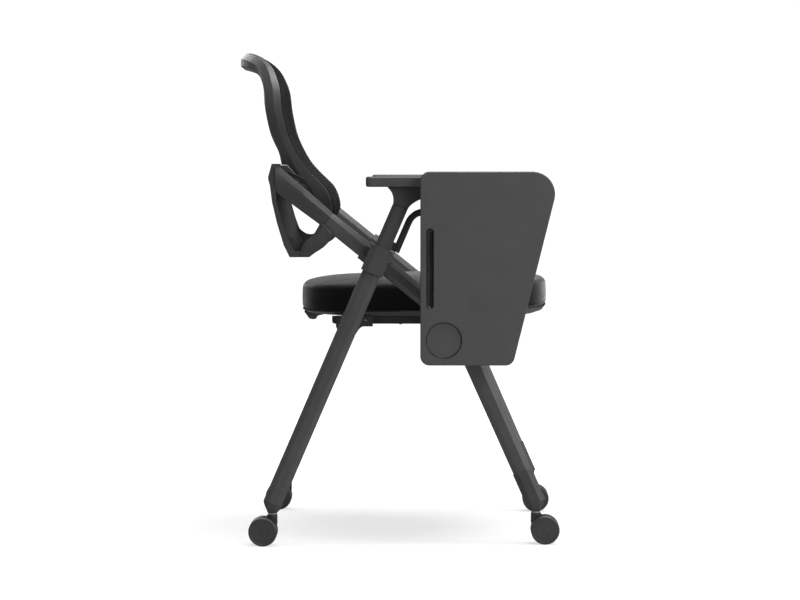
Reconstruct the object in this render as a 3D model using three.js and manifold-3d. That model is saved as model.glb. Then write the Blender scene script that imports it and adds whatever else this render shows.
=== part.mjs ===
// A folding conference chair on four twin-wheel casters, with a mesh back, an upholstered seat
// and a writing tablet that hangs beside the right armrest.
//
// Millimetres. x points forward, y to the sitter's left, z up. While the pieces are made, x is
// counted from the fold pivot, where the rear legs cross the front frame. At the end the chair is
// moved so that the origin is the middle of its footprint, on the floor.

import * as THREE from 'three';
import { mergeVertices } from 'three/addons/utils/BufferGeometryUtils.js';
import Module from 'manifold-3d';

const wasm = await Module();
wasm.setup();

// Fits that every piece shares
const seatGap = 0.3;
const overrun = 5;

// Facets of the round pieces: pins, bolts and their bores, bars, discs
const pinSides = 12;
const boltSides = 16;
const barSides = 20;
const discSides = 24;

// The side view of the frame
const pivotHeight = 497;
const rearLegLean = 66.7;
const backTubeSlope = 39;
const frontLegLean = 66.15;
const frontBendX = 140.4;
const legEndHeight = 73.4;
const rearLegPlane = 285;
const frontLegPlane = 254;

// The tubes: an eight-sided section with a broad middle facet
const tubeThickness = 22;
const tubeFacetShare = 0.45;
const tubeEdgeShare = 0.5;
const tubeWall = 2;
const backTubeWidth = 29.4;
const frontLegTopWidth = 35;
const frontLegEndWidth = 32;
const rearLegWidth = 33;
const armPostWidth = 27.5;
const frontBendLength = 70;
const backTubeEndX = -86;

// The seat. Its cushion rises a little towards the front, its shell and rails lie level below.
const seatRearX = -142.2;
const seatFrontX = 305;
const seatWidth = 464;
const cushionBottom = 403;
const cushionHeight = 55;
const seatRise = 8;
const shellDepth = 6;
const railHeight = 14;
const railTop = cushionBottom - shellDepth - 2 * seatGap;
const railBottom = railTop - railHeight;

// The cross tubes, below the seat's rails: the seat turns on the front one and rests on the rear one
const frontCrossDrop = 42.4;
const frontCrossDiameter = 22;
const rearCrossDrop = 12.4;
const rearCrossDiameter = 19;
const frontCrossHeight = railBottom - frontCrossDrop;
const rearCrossHeight = railBottom - rearCrossDrop;

// The back
const backBottom = 560;
const backTop = 865;
const backWidth = 412;

// The armrests
const padTop = 643;
const padThickness = 18;
const padRearX = -19.2;
const padLength = 180;
const padWidth = 46;
const padInset = 271;

// The tablet, hanging at rest
const tabletLeftX = 75.3;
const tabletWidth = 232;
const tabletTop = 652;
const tabletHeight = 334;
const tabletThickness = 14;
const tabletInnerY = 326;

// The casters
const wheelDiameter = 50.8;
const wheelWidth = 15.5;
const wheelSides = 20;
const casterTrail = 16.4;

const rightSide = -1;
const leftSide = 1;
const sideName = side => (side === rightSide ? 'right' : 'left');

const radians = degrees => THREE.MathUtils.degToRad(degrees);
const mix = THREE.MathUtils.lerp;
const smooth = THREE.MathUtils.smoothstep;

// Joining and cutting closed meshes

function triangleIndex(geometry) {
  const bare = geometry.clone();
  bare.deleteAttribute('normal');
  bare.deleteAttribute('uv');
  return mergeVertices(bare, 1e-4);
}

function facingOut(geometry) {
  const merged = triangleIndex(geometry);
  const place = merged.getAttribute('position');
  const index = merged.getIndex();
  const corner = i => new THREE.Vector3().fromBufferAttribute(place, index.getX(i));
  let volume = 0;
  for (let i = 0; i < index.count; i += 3) {
    volume += corner(i).dot(corner(i + 1).cross(corner(i + 2)));
  }
  if (volume < 0) {
    for (let i = 0; i < index.count; i += 3) {
      const kept = index.getX(i);
      index.setX(i, index.getX(i + 1));
      index.setX(i + 1, kept);
    }
  }
  return merged;
}

function solidOf(geometry) {
  const merged = facingOut(geometry);
  const vertProperties = new Float32Array(merged.getAttribute('position').array);
  const triVerts = new Uint32Array(merged.getIndex().array);
  return new wasm.Manifold(new wasm.Mesh({ numProp: 3, vertProperties, triVerts }));
}

function geometryOf(solid) {
  const mesh = solid.getMesh();
  const geometry = new THREE.BufferGeometry();
  geometry.setAttribute('position', new THREE.BufferAttribute(mesh.vertProperties, 3));
  geometry.setIndex(new THREE.BufferAttribute(mesh.triVerts, 1));
  return geometry;
}

const joined = (...geometries) => geometryOf(geometries.map(solidOf).reduce((a, b) => a.add(b)));
const cut = (body, ...tools) => geometryOf(
  tools.map(solidOf).reduce((a, b) => a.subtract(b), solidOf(body)),
);

// Forms

// A skin over rings of equally many points. Open rows get a flat cap at each end, whose
// triangles are found in the plane that capPlane projects onto.
function loft(rings, { closed = false, capPlane = p => [p.x, p.z] } = {}) {
  const count = rings[0].length;
  const place = rings.flat().flatMap(p => [p.x, p.y, p.z]);
  const index = [];
  const last = closed ? rings.length : rings.length - 1;
  for (let r = 0; r < last; r += 1) {
    const near = r * count;
    const far = ((r + 1) % rings.length) * count;
    for (let i = 0; i < count; i += 1) {
      const next = (i + 1) % count;
      index.push(near + i, near + next, far + next, near + i, far + next, far + i);
    }
  }
  if (!closed) {
    const cap = (ring, offset, atStart) => {
      const outline = ring.map(p => new THREE.Vector2(...capPlane(p)));
      const order = outline.map((_, i) => i);
      const turned = THREE.ShapeUtils.isClockWise(outline);
      if (turned) {
        outline.reverse();
        order.reverse();
      }
      for (const [a, b, c] of THREE.ShapeUtils.triangulateShape(outline, [])) {
        const corners = [offset + order[a], offset + order[b], offset + order[c]];
        index.push(...(turned === atStart ? corners : corners.reverse()));
      }
    };
    cap(rings[0], 0, true);
    cap(rings[rings.length - 1], (rings.length - 1) * count, false);
  }
  const geometry = new THREE.BufferGeometry();
  geometry.setAttribute('position', new THREE.Float32BufferAttribute(place, 3));
  geometry.setIndex(index);
  return facingOut(geometry);
}

// A plate cut to a side-view outline, between two distances from the middle of the chair
function plate(shape, side, innerY, outerY, { bevel = 0, bevelDepth = 0, curveSegments = 8 } = {}) {
  const depth = outerY - innerY - 2 * bevelDepth;
  const geometry = new THREE.ExtrudeGeometry(shape, {
    depth, curveSegments, bevelEnabled: bevel > 0, bevelSegments: 1,
    bevelSize: bevel, bevelThickness: bevelDepth, bevelOffset: -bevel,
  });
  geometry.rotateX(Math.PI / 2);
  geometry.translate(0, innerY + bevelDepth + depth, 0);
  return geometry.scale(1, side, 1);
}

// A round bar across the chair, between two y values
function crossBar(diameter, x, z, fromY, toY, sides = barSides) {
  const geometry = new THREE.CylinderGeometry(diameter / 2, diameter / 2, Math.abs(toY - fromY), sides);
  return geometry.translate(x, (fromY + toY) / 2, z);
}

function uprightBar(diameter, x, y, fromZ, toZ, sides = boltSides) {
  const geometry = new THREE.CylinderGeometry(diameter / 2, diameter / 2, toZ - fromZ, sides);
  geometry.rotateX(Math.PI / 2);
  return geometry.translate(x, y, (fromZ + toZ) / 2);
}

// One ring of the eight-sided tube, square to its run in the side view
function tubeRing(x, y, z, along, width, thickness) {
  const facet = width * tubeFacetShare;
  const edge = thickness * tubeEdgeShare;
  const corners = [
    [width, edge], [facet, thickness], [-facet, thickness], [-width, edge],
    [-width, -edge], [-facet, -thickness], [facet, -thickness], [width, -edge],
  ];
  return corners.map(([across, out]) => new THREE.Vector3(
    x - along.y * across / 2, y + out / 2, z + along.x * across / 2,
  ));
}

const acrossY = p => [p.x + p.z, p.y];

function tubeRun(stations, y, thickness) {
  return loft(stations.map(s => tubeRing(s.x, y, s.z, s.along, s.width, thickness)), { capPlane: acrossY });
}

const direction = degrees => new THREE.Vector2(Math.cos(radians(degrees)), Math.sin(radians(degrees)));
const station = (point, along, width) => ({ x: point.x, z: point.y, along, width });

// The lines of the frame in the side view
const pivot = new THREE.Vector2(0, pivotHeight);
const rearLegUp = direction(rearLegLean);
const backTubeDown = direction(-backTubeSlope);
const frontLegDown = direction(-frontLegLean);
const alongRearLeg = distance => pivot.clone().addScaledVector(rearLegUp, distance);
const alongBackTube = distance => pivot.clone().addScaledVector(backTubeDown, distance);
const frontBend = alongBackTube(frontBendX / backTubeDown.x);
const alongFrontLeg = distance => frontBend.clone().addScaledVector(frontLegDown, distance);
const rearLegLength = (pivotHeight - legEndHeight) / rearLegUp.y;
const frontLegLength = (frontBend.y - legEndHeight) / -frontLegDown.y;
const rearFoot = alongRearLeg(-rearLegLength);
const frontFoot = alongFrontLeg(frontLegLength);
const frontCross = alongFrontLeg((frontBend.y - frontCrossHeight) / -frontLegDown.y);
const rearCross = alongRearLeg((rearCrossHeight - pivotHeight) / rearLegUp.y);

// Pivot of the fold: a collar on the front frame, a moulded sleeve on the rear leg, one bolt
const collarRear = 30;
const collarFront = 20;
const collarWidth = 37;
const collarWall = 2.5;
const sleeveHalf = 24;
const sleeveWidth = 40;
const sleeveThickness = 30;
const sleeveMiddle = 12;
const boltDiameter = 10;
const boltClearance = 0.3;
const boltHeadDiameter = 18;
const boltHeadThickness = 3.2;
const boltEndCover = 8;
const sleeveInnerY = rearLegPlane - sleeveThickness / 2;
const sleeveOuterY = rearLegPlane + sleeveThickness / 2;
const tubeInnerY = frontLegPlane - tubeThickness / 2;
const tubeOuterY = frontLegPlane + tubeThickness / 2;
const collarInnerY = tubeInnerY - collarWall;
const collarOuterY = sleeveInnerY - seatGap;

function pivotBore(side) {
  const bore = boltDiameter + 2 * boltClearance;
  const end = sleeveOuterY - boltEndCover + boltClearance;
  return crossBar(bore, pivot.x, pivot.y, side * (collarInnerY - overrun), side * end, boltSides);
}

// The plug of one piece inside the open end of a tube
const plugDepth = 38;
const footPlugDepth = 16;
const plugEndRoom = 2;
const boreDepth = plugDepth + plugEndRoom;
const footBoreDepth = footPlugDepth + plugEndRoom;

function tubeBore(mouth, along, depth, side, planeY, width) {
  const start = mouth.clone().addScaledVector(along, -overrun);
  const end = mouth.clone().addScaledVector(along, depth);
  const bore = width - 2 * tubeWall;
  return tubeRun([station(start, along, bore), station(end, along, bore)], side * planeY,
    tubeThickness - 2 * tubeWall);
}

function tubePlug(mouth, along, depth, side, planeY, width) {
  const start = mouth.clone().addScaledVector(along, -overrun);
  const end = mouth.clone().addScaledVector(along, depth);
  const plug = width - 2 * tubeWall - 2 * seatGap;
  return tubeRun([station(start, along, plug), station(end, along, plug)], side * planeY,
    tubeThickness - 2 * tubeWall - 2 * seatGap);
}

// Front frame tube: from the back yoke down past the pivot, round the bend and to the front foot

const backTubeEnd = alongBackTube(backTubeEndX / backTubeDown.x);
const yokeFront = backTubeEnd.clone().addScaledVector(backTubeDown, -seatGap);
const bendSteps = 6;

function frontLegStations(extraWidth = 0) {
  const bendHalf = frontBendLength / 2;
  const bendStart = frontBend.clone().addScaledVector(backTubeDown, -bendHalf);
  const bendEnd = alongFrontLeg(bendHalf);
  const bend = new THREE.QuadraticBezierCurve(bendStart, frontBend, bendEnd);
  const stations = [station(backTubeEnd, backTubeDown, backTubeWidth + extraWidth)];
  for (let i = 0; i <= bendSteps; i += 1) {
    const t = i / bendSteps;
    const width = mix(backTubeWidth, frontLegTopWidth, smooth(t, 0, 1));
    stations.push(station(bend.getPoint(t), bend.getTangent(t), width + extraWidth));
  }
  stations.push(station(frontFoot, frontLegDown, frontLegEndWidth + extraWidth));
  return stations;
}

function frontLeg(side) {
  const y = side * frontLegPlane;
  const footUp = frontLegDown.clone().negate();
  return cut(
    tubeRun(frontLegStations(), y, tubeThickness),
    tubeBore(backTubeEnd, backTubeDown, boreDepth, side, frontLegPlane, backTubeWidth),
    tubeBore(frontFoot, footUp, footBoreDepth, side, frontLegPlane, frontLegEndWidth),
    pivotBore(side),
  );
}

function frontCrossTube() {
  const reach = tubeInnerY - seatGap;
  return crossBar(frontCrossDiameter, frontCross.x, frontCross.y, -reach, reach);
}

function pivotCollar(side) {
  const run = (from, to, width, innerY, outerY) => tubeRun(
    [station(alongBackTube(from), backTubeDown, width), station(alongBackTube(to), backTubeDown, width)],
    side * (innerY + outerY) / 2, outerY - innerY,
  );
  return cut(
    run(-collarRear, collarFront, collarWidth, collarInnerY, collarOuterY),
    run(-collarRear - overrun, collarFront + overrun, backTubeWidth + 2 * seatGap,
      tubeInnerY - seatGap, tubeOuterY + seatGap),
    pivotBore(side),
  );
}

function pivotBolt(side) {
  const headInner = collarInnerY - seatGap - boltHeadThickness;
  const headOuter = collarInnerY - seatGap;
  return joined(
    crossBar(boltDiameter, pivot.x, pivot.y, side * (headInner + boltHeadThickness / 2),
      side * (sleeveOuterY - boltEndCover), boltSides),
    crossBar(boltHeadDiameter, pivot.x, pivot.y, side * headInner, side * headOuter),
  );
}

// Rear leg, arm post and the sleeve that joins them

function rearLeg(side) {
  const top = alongRearLeg(-sleeveMiddle / 2 - seatGap);
  return cut(
    tubeRun([station(top, rearLegUp, rearLegWidth), station(rearFoot, rearLegUp, rearLegWidth)],
      side * rearLegPlane, tubeThickness),
    tubeBore(rearFoot, rearLegUp, footBoreDepth, side, rearLegPlane, rearLegWidth),
  );
}

const armPostTop = 102.8;
const armPlugDepth = 20;

function armPost(side) {
  const foot = alongRearLeg(sleeveMiddle / 2 + seatGap);
  const top = alongRearLeg(armPostTop);
  const down = rearLegUp.clone().negate();
  return cut(
    tubeRun([station(foot, rearLegUp, armPostWidth), station(top, rearLegUp, armPostWidth)],
      side * rearLegPlane, tubeThickness),
    tubeBore(top, down, armPlugDepth + plugEndRoom, side, rearLegPlane, armPostWidth),
  );
}

function pivotSleeve(side) {
  const y = side * rearLegPlane;
  const socket = (from, to, width) => tubeRun(
    [station(alongRearLeg(from), rearLegUp, width + 2 * seatGap),
      station(alongRearLeg(to), rearLegUp, width + 2 * seatGap)],
    y, tubeThickness + 2 * seatGap,
  );
  const outer = tubeRun(
    [station(alongRearLeg(-sleeveHalf), rearLegUp, sleeveWidth),
      station(alongRearLeg(sleeveHalf), rearLegUp, sleeveWidth)],
    y, sleeveThickness,
  );
  return cut(
    outer,
    socket(-sleeveHalf - overrun, -sleeveMiddle / 2, rearLegWidth),
    socket(sleeveMiddle / 2, sleeveHalf + overrun, armPostWidth),
    pivotBore(side),
  );
}

function rearCrossTube() {
  const reach = rearLegPlane - tubeThickness / 2 - seatGap;
  return crossBar(rearCrossDiameter, rearCross.x, rearCross.y, -reach, reach);
}

// Casters and the foot caps that hold their stems

const capBottom = 57;
const capBottomDiameter = 17;
const capSteps = 4;
const capSleeveLength = 58.6;
const capSleeveWall = 1;
const stemDiameter = 11;
const stemTopHeight = 80;
const stemFlangeDiameter = 15;
const stemFlangeThickness = 2;
const stemPinDiameter = 5;
const stemPinDepth = 15;
const axleDiameter = 6;
const axleClearance = 0.2;
const wheelGap = 0.8;
const forkThickness = 9.6;
const forkBossRadius = 12;
const forkHeadDiameter = 17;
const forkHeadHeight = 3.6;
const forkArcSteps = 8;
const wheelRadius = wheelDiameter / 2;
const axleHeight = wheelRadius * Math.cos(Math.PI / wheelSides);
const flangeTop = capBottom - seatGap;
const flangeBottom = flangeTop - stemFlangeThickness;
const forkTop = flangeBottom - seatGap;

// The eight corners of the leg section run into as many points of the round foot
function footCap(side, foot, up, planeY, width, ...sleeves) {
  const y = side * planeY;
  const start = foot.clone().addScaledVector(up, -seatGap);
  const square = tubeRing(start.x, y, start.y, up, width, tubeThickness);
  const radius = capBottomDiameter / 2;
  const round = square.map(p => {
    const turn = Math.atan2(p.y - y, (p.x - start.x) * up.y - (p.z - start.y) * up.x);
    return new THREE.Vector3(foot.x + radius * Math.cos(turn), y + radius * Math.sin(turn), capBottom);
  });
  const rings = [];
  for (let i = 0; i <= capSteps; i += 1) {
    const t = i / capSteps;
    const shrink = smooth(t, 0, 1) * t;
    rings.push(square.map((p, k) => new THREE.Vector3(
      mix(p.x, round[k].x, mix(shrink, t, t)), mix(p.y, round[k].y, shrink), mix(p.z, round[k].z, t),
    )));
  }
  const shell = loft(rings, { capPlane: acrossY });
  const plug = tubePlug(foot, up, footPlugDepth, side, planeY, width);
  const body = joined(shell, plug, ...sleeves);
  return cut(body, uprightBar(stemDiameter + 2 * axleClearance, foot.x, y, capBottom - overrun,
    stemTopHeight + axleClearance));
}

// The front foot cap has a thin sleeve that reaches up round the end of the leg
function frontFootCap(side) {
  const footUp = frontLegDown.clone().negate();
  const onLeg = distance => frontFoot.clone().addScaledVector(footUp, distance);
  const widening = (frontLegTopWidth - frontLegEndWidth) / (frontLegLength - frontBendLength / 2);
  const run = (from, to, extra) => tubeRun(
    [from, to].map(at => station(onLeg(at), footUp, frontLegEndWidth + widening * at + 2 * extra)),
    side * frontLegPlane, tubeThickness + 2 * extra,
  );
  const sleeve = cut(
    run(-seatGap - capSleeveWall, capSleeveLength, seatGap + capSleeveWall),
    run(-seatGap, capSleeveLength + overrun, seatGap),
  );
  return footCap(side, frontFoot, footUp, frontLegPlane, frontLegEndWidth, sleeve);
}

function casterStem(side, foot, planeY) {
  const y = side * planeY;
  return joined(
    uprightBar(stemDiameter, foot.x, y, flangeBottom + stemFlangeThickness / 2, stemTopHeight),
    uprightBar(stemFlangeDiameter, foot.x, y, flangeBottom, flangeTop, barSides),
    uprightBar(stemPinDiameter, foot.x, y, forkTop - stemPinDepth,
      flangeTop - stemFlangeThickness / 2, pinSides),
  );
}

// The web between the wheels: a round boss at the axle, a straight leading edge under the stem
function casterFork(side, foot, planeY, trail) {
  const y = side * planeY;
  const axleX = foot.x + trail;
  const lead = Math.sign(trail);
  const headRadius = forkHeadDiameter / 2;
  const outline = new THREE.Shape();
  outline.moveTo(foot.x - lead * headRadius, forkTop);
  outline.lineTo(foot.x - lead * headRadius, axleHeight + forkBossRadius);
  for (let i = 0; i <= forkArcSteps; i += 1) {
    const turn = Math.PI * (1 + i / forkArcSteps);
    outline.lineTo(axleX + lead * forkBossRadius * Math.cos(turn),
      axleHeight + forkBossRadius * Math.sin(turn));
  }
  outline.lineTo(foot.x + lead * headRadius, forkTop);
  const half = forkThickness / 2;
  const web = plate(outline, side, planeY - half, planeY + half);
  const head = uprightBar(forkHeadDiameter, foot.x, y, forkTop - forkHeadHeight, forkTop, barSides);
  const pinBore = uprightBar(stemPinDiameter + 2 * axleClearance, foot.x, y,
    forkTop - stemPinDepth - axleClearance, forkTop + overrun, pinSides);
  const axleBore = crossBar(axleDiameter + 2 * axleClearance, axleX, axleHeight,
    side * (planeY - half - overrun), side * (planeY + half + overrun), boltSides);
  return cut(joined(web, head), pinBore, axleBore);
}

const axleDepthShare = 0.72;
const axleReach = forkThickness / 2 + wheelGap + wheelWidth * axleDepthShare;

function casterAxle(side, foot, planeY, trail) {
  return crossBar(axleDiameter, foot.x + trail, axleHeight, side * (planeY - axleReach),
    side * (planeY + axleReach), boltSides);
}

// A wheel turned about its axle: open inside towards the web, softly domed outside
const wheelHubRadius = 7;
const wheelHollowDepth = 4;
const wheelRimThickness = 4.4;
const wheelEdge = 1.4;
const wheelShoulder = 2.4;
const wheelDome = 0.5;

function wheel(side, foot, planeY, trail, out) {
  const bore = axleDiameter / 2 + axleClearance;
  const boreEnd = axleReach - forkThickness / 2 - wheelGap + axleClearance;
  const rim = wheelRadius - wheelRimThickness;
  const profile = [
    [0, boreEnd], [bore, boreEnd], [bore, 0], [wheelHubRadius, 0], [wheelHubRadius, wheelHollowDepth],
    [rim, wheelHollowDepth], [rim, 0], [wheelRadius - wheelEdge, 0], [wheelRadius, wheelEdge],
    [wheelRadius, wheelWidth - wheelShoulder], [rim, wheelWidth], [0, wheelWidth - wheelDome],
  ];
  const geometry = new THREE.LatheGeometry(profile.map(([r, d]) => new THREE.Vector2(r, d)), wheelSides);
  geometry.rotateY(Math.PI / wheelSides);
  geometry.scale(1, out, 1);
  const start = planeY * side + out * (forkThickness / 2 + wheelGap);
  return geometry.translate(foot.x + trail, start, axleHeight);
}

// The back: one curved surface that the moulded frame and the mesh both follow

const backHeight = backTop - backBottom;
const backSway = 126;
const backFrontX = -73.4;

// Shares of the back's height, from the bottom, and of its sway, from the front
const backCurveShares = [
  [0, 0.035], [0.067, 0.002], [0.102, 0.01], [0.16, 0.055], [0.208, 0.12], [0.25, 0.22],
  [0.302, 0.348], [0.374, 0.488], [0.507, 0.648], [0.644, 0.722], [0.744, 0.735],
  [0.83, 0.73], [0.905, 0.715], [1, 0.71],
];
const backCurve = new THREE.SplineCurve(backCurveShares.map(([up, rear]) => new THREE.Vector2(
  backBottom + up * backHeight, backFrontX - rear * backSway,
)));
const backCurveSteps = 120;
const backCurvePoints = backCurve.getPoints(backCurveSteps);

function backCurveX(z) {
  const points = backCurvePoints;
  for (let i = 1; i < points.length; i += 1) {
    if (z <= points[i].x || i === points.length - 1) {
      const t = (z - points[i - 1].x) / (points[i].x - points[i - 1].x);
      return mix(points[i - 1].y, points[i].y, t);
    }
  }
  return backFrontX;
}

const backHollowLow = 20;
const backHollowTop = 70;
const backHeadStart = 790;
const backHeadFull = 845;
const backBellShare = 0.58;

// How far the surface lies behind its side edges at this height and width. The head falls back in
// the middle only, so the way across mixes a parabola and a bell.
function backHollow(y, z) {
  const out = Math.min(1, Math.abs(y) / (backWidth / 2));
  const bell = (1 + Math.cos(Math.PI * out)) / 2;
  const head = smooth(z, backHeadStart, backHeadFull);
  return mix(backHollowLow, backHollowTop, head) * mix(1 - out * out, bell, head * backBellShare);
}

const backSurface = (y, z, behind) => new THREE.Vector3(backCurveX(z) - backHollow(y, z) - behind, y, z);

// The outline of the back, seen from the front: blunt at the foot, rounder at the head
const backHeadPower = 2.6;
const backFootPower = 7;
const backWidestHeight = 712;
const backOutlineSamples = 720;

function backOutline(count, inset) {
  const half = backWidth / 2 - inset;
  const samples = [];
  for (let i = 0; i < backOutlineSamples; i += 1) {
    const turn = 2 * Math.PI * i / backOutlineSamples;
    const up = Math.sin(turn) > 0;
    const power = 2 / (up ? backHeadPower : backFootPower);
    const reach = (up ? backTop - backWidestHeight : backWidestHeight - backBottom) - inset;
    const raise = value => Math.sign(value) * Math.abs(value) ** power;
    samples.push(new THREE.Vector2(half * raise(Math.cos(turn)),
      backWidestHeight + reach * raise(Math.sin(turn))));
  }
  samples.push(samples[0].clone());
  const lengths = [0];
  for (let i = 1; i < samples.length; i += 1) {
    lengths.push(lengths[i - 1] + samples[i].distanceTo(samples[i - 1]));
  }
  const total = lengths[lengths.length - 1];
  const outline = [];
  let k = 1;
  for (let i = 0; i < count; i += 1) {
    const wanted = total * i / count;
    while (lengths[k] < wanted) {
      k += 1;
    }
    const t = (wanted - lengths[k - 1]) / (lengths[k] - lengths[k - 1]);
    outline.push(samples[k - 1].clone().lerp(samples[k], t));
  }
  return outline;
}

const frameSideDepth = 30;
const frameWingDepth = 58;
const frameWingHeight = 618;
const frameWingSpread = 74;
const frameRailDepth = 20;
const frameFaceWidth = 26;
const frameHeadWidth = 33;
const meshThickness = 2;
const backStations = 56;
const frameFront = meshThickness + seatGap;
// The flat of the frame's face, which carries the mesh, as shares of its width from the outer edge
const faceOuterShare = 0.08;
const faceInnerShare = 0.94;
// The frame's section: shares of its face width, from the outer edge inwards, and of its depth
const frameSectionShares = [
  [faceOuterShare, 0], [0, 0.06], [0.02, 0.52], [0.3, 1], [0.72, 1], [0.92, 0.75], [1, 0.2],
  [faceInnerShare, 0],
];
// How far a stretch faces sideways where its depth starts and ends to follow the sides
const frameSideStartShare = 0.25;
const frameSideEndShare = 0.9;

function frameDepth(z, sideways) {
  const wing = 1 - smooth(Math.abs(z - frameWingHeight), 0, frameWingSpread);
  const sideDepth = mix(frameSideDepth, frameWingDepth, wing);
  return mix(frameRailDepth, sideDepth, smooth(sideways, frameSideStartShare, frameSideEndShare));
}

// The stations round the back: a place on its outline, the way inwards and the width of the face
function backRim() {
  const outline = backOutline(backStations, 0);
  return outline.map((at, i) => {
    const before = outline[(i + backStations - 1) % backStations];
    const after = outline[(i + 1) % backStations];
    const run = after.clone().sub(before).normalize();
    const inward = new THREE.Vector2(-run.y, run.x);
    return { at, inward, faceWidth: mix(frameFaceWidth, frameHeadWidth, Math.max(0, -inward.y)) };
  });
}

// Where the back is held: a lug on each side that reaches the arm of the yoke, in line with it
const lugFrontX = -94;
const lugRearX = -132;
const lugThickness = 13;
const lugInnerY = 172;

function backLug(side) {
  const front = alongBackTube(lugFrontX / backTubeDown.x);
  const rear = alongBackTube(lugRearX / backTubeDown.x);
  const lugOuterY = tubeInnerY - seatGap;
  return tubeRun(
    [station(rear, backTubeDown, lugThickness), station(front, backTubeDown, lugThickness)],
    side * (lugInnerY + lugOuterY) / 2, lugOuterY - lugInnerY,
  );
}

function backFrame() {
  const rings = backRim().map(({ at, inward, faceWidth }) => {
    const depth = frameDepth(at.y, Math.abs(inward.x));
    return frameSectionShares.map(([across, behind]) => {
      const p = at.clone().addScaledVector(inward, across * faceWidth);
      return backSurface(p.x, p.y, mix(frameFront, depth, behind));
    });
  });
  return joined(loft(rings, { closed: true }), backLug(rightSide), backLug(leftSide));
}

// The mesh is stretched over the face of the frame and across its opening
const meshInnerRings = 4;

function backMesh() {
  const rim = backRim();
  const centre = new THREE.Vector2(0, backWidestHeight);
  const inset = share => rim.map(
    ({ at, inward, faceWidth }) => at.clone().addScaledVector(inward, share * faceWidth),
  );
  const mouth = inset(faceInnerShare);
  const rows = [inset(faceOuterShare)];
  for (let r = meshInnerRings; r > 0; r -= 1) {
    rows.push(mouth.map(p => centre.clone().lerp(p, r / meshInnerRings)));
  }
  const sheet = behind => rows.map(row => row.map(p => backSurface(p.x, p.y, behind)));
  return loft([...sheet(meshThickness).reverse(), ...sheet(0)], { capPlane: p => [p.y, p.z] });
}

// The yoke: a moulded panel that wraps round behind the back and holds it between two arms

const yokeTop = 665;
const yokeBottom = 502;
const yokeWall = 6;
const yokeSideWall = 16;
const yokeSideStartShare = 0.8;
const yokeBulge = 6;
const yokeHalfWidth = 262;
const yokeColumns = 18;
const yokeTopDip = 16;
const yokeBottomRise = 4;
const yokeRearX = -153;
const yokeLean = 37.5;
// Shares of the panel's height, from the bottom, of its lean, from the foremost point, and of the
// thicker wall that its sides have
const yokeCurveShares = [
  [0, 0, 0.92], [0.127, 0.27, 0.78], [0.36, 0.58, 0.62], [0.59, 0.815, 0.5], [0.78, 0.92, 0.62],
  [0.855, 1, 0.95], [1, 0.83, 1],
];

function yokePanel() {
  const rings = [];
  for (let i = 0; i <= yokeColumns; i += 1) {
    const across = -1 + 2 * i / yokeColumns;
    const y = yokeHalfWidth * Math.sin(across * Math.PI / 2);
    const out = Math.abs(y) / yokeHalfWidth;
    const middle = 1 - out * out;
    const bottom = yokeBottom + yokeBottomRise * middle;
    const top = yokeTop - yokeTopDip * middle;
    const atSide = smooth(out, yokeSideStartShare, 1);
    const outer = ([height, lean]) => new THREE.Vector3(
      yokeRearX - lean * yokeLean - yokeBulge * middle, y, mix(bottom, top, height),
    );
    const inner = share => {
      const p = outer(share);
      p.x += mix(yokeWall, yokeSideWall * share[2], atSide);
      return p;
    };
    rings.push([...yokeCurveShares.map(outer), ...[...yokeCurveShares].reverse().map(inner)]);
  }
  return loft(rings);
}

// An arm carries the line of the back tube on to the panel, deepens on its way and ends upright
// inside the panel's wall
const yokeArmRearX = -178;
const yokeArmMiddleX = -135;
const yokeArmRearWidth = 49;
const yokeArmMiddleWidth = 35.5;

function yokeArm(side) {
  const onLine = x => alongBackTube(x / backTubeDown.x);
  const level = new THREE.Vector2(1, 0);
  return tubeRun([
    station(onLine(yokeArmRearX), level, yokeArmRearWidth),
    station(onLine(yokeArmMiddleX), backTubeDown, yokeArmMiddleWidth),
    station(yokeFront, backTubeDown, backTubeWidth),
  ], side * frontLegPlane, tubeThickness);
}

// The lower branch sweeps from the foot of the panel up to the underside of the arm. Its edges are
// given as shares of the way from their foot to their top.
const branchFootRearX = -138.3;
const branchFootFrontX = -118.7;
const branchTopRearX = -101.5;
const branchTopFrontX = -76.5;
const branchRearRise = 56;
const branchFrontRise = 36.5;
const branchRoot = 12;
const branchBevel = 7;
const branchBevelDepth = 5.5;
const branchRearShares = [[0, 0], [0.28, 0.465], [0.7, 0.692], [1, 1]];
const branchFrontShares = [[0, 0], [0.27, 0.236], [0.623, 0.503], [1, 1]];
const branchCurvePoints = 8;

// A web closes the corner between the panel and the branch, with a hollow edge towards the
// opening, and a block ties their feet together
const webThickness = 4;
const footBlockHeight = 11;
const webTopX = -166;
const webTopRise = 52;
const webMiddleX = -146;
const webMiddleRise = 18;
const webFrontX = -122;
const webFrontRise = 32;

function yokeBranch(side) {
  const edge = (shares, fromX, toX, rise) => {
    const points = shares.map(([across, up]) => new THREE.Vector2(
      mix(fromX, toX, across), yokeBottom + up * rise,
    ));
    return new THREE.SplineCurve(points).getPoints(branchCurvePoints);
  };
  const rear = edge(branchRearShares, branchFootRearX, branchTopRearX, branchRearRise);
  const front = edge(branchFrontShares, branchFootFrontX, branchTopFrontX, branchFrontRise);
  const outline = [
    ...front,
    new THREE.Vector2(branchTopFrontX, yokeBottom + branchFrontRise + branchRoot),
    new THREE.Vector2(branchTopRearX, yokeBottom + branchRearRise + branchRoot),
    ...rear.reverse(),
  ];
  const branch = plate(new THREE.Shape(outline), side, tubeInnerY, tubeOuterY,
    { bevel: branchBevel, bevelDepth: branchBevelDepth });
  const room = frontLegStations(2 * seatGap);
  room[0] = station(yokeFront, backTubeDown, room[0].width);
  return cut(branch, tubeRun(room, side * frontLegPlane, tubeThickness + 2 * seatGap));
}

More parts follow.
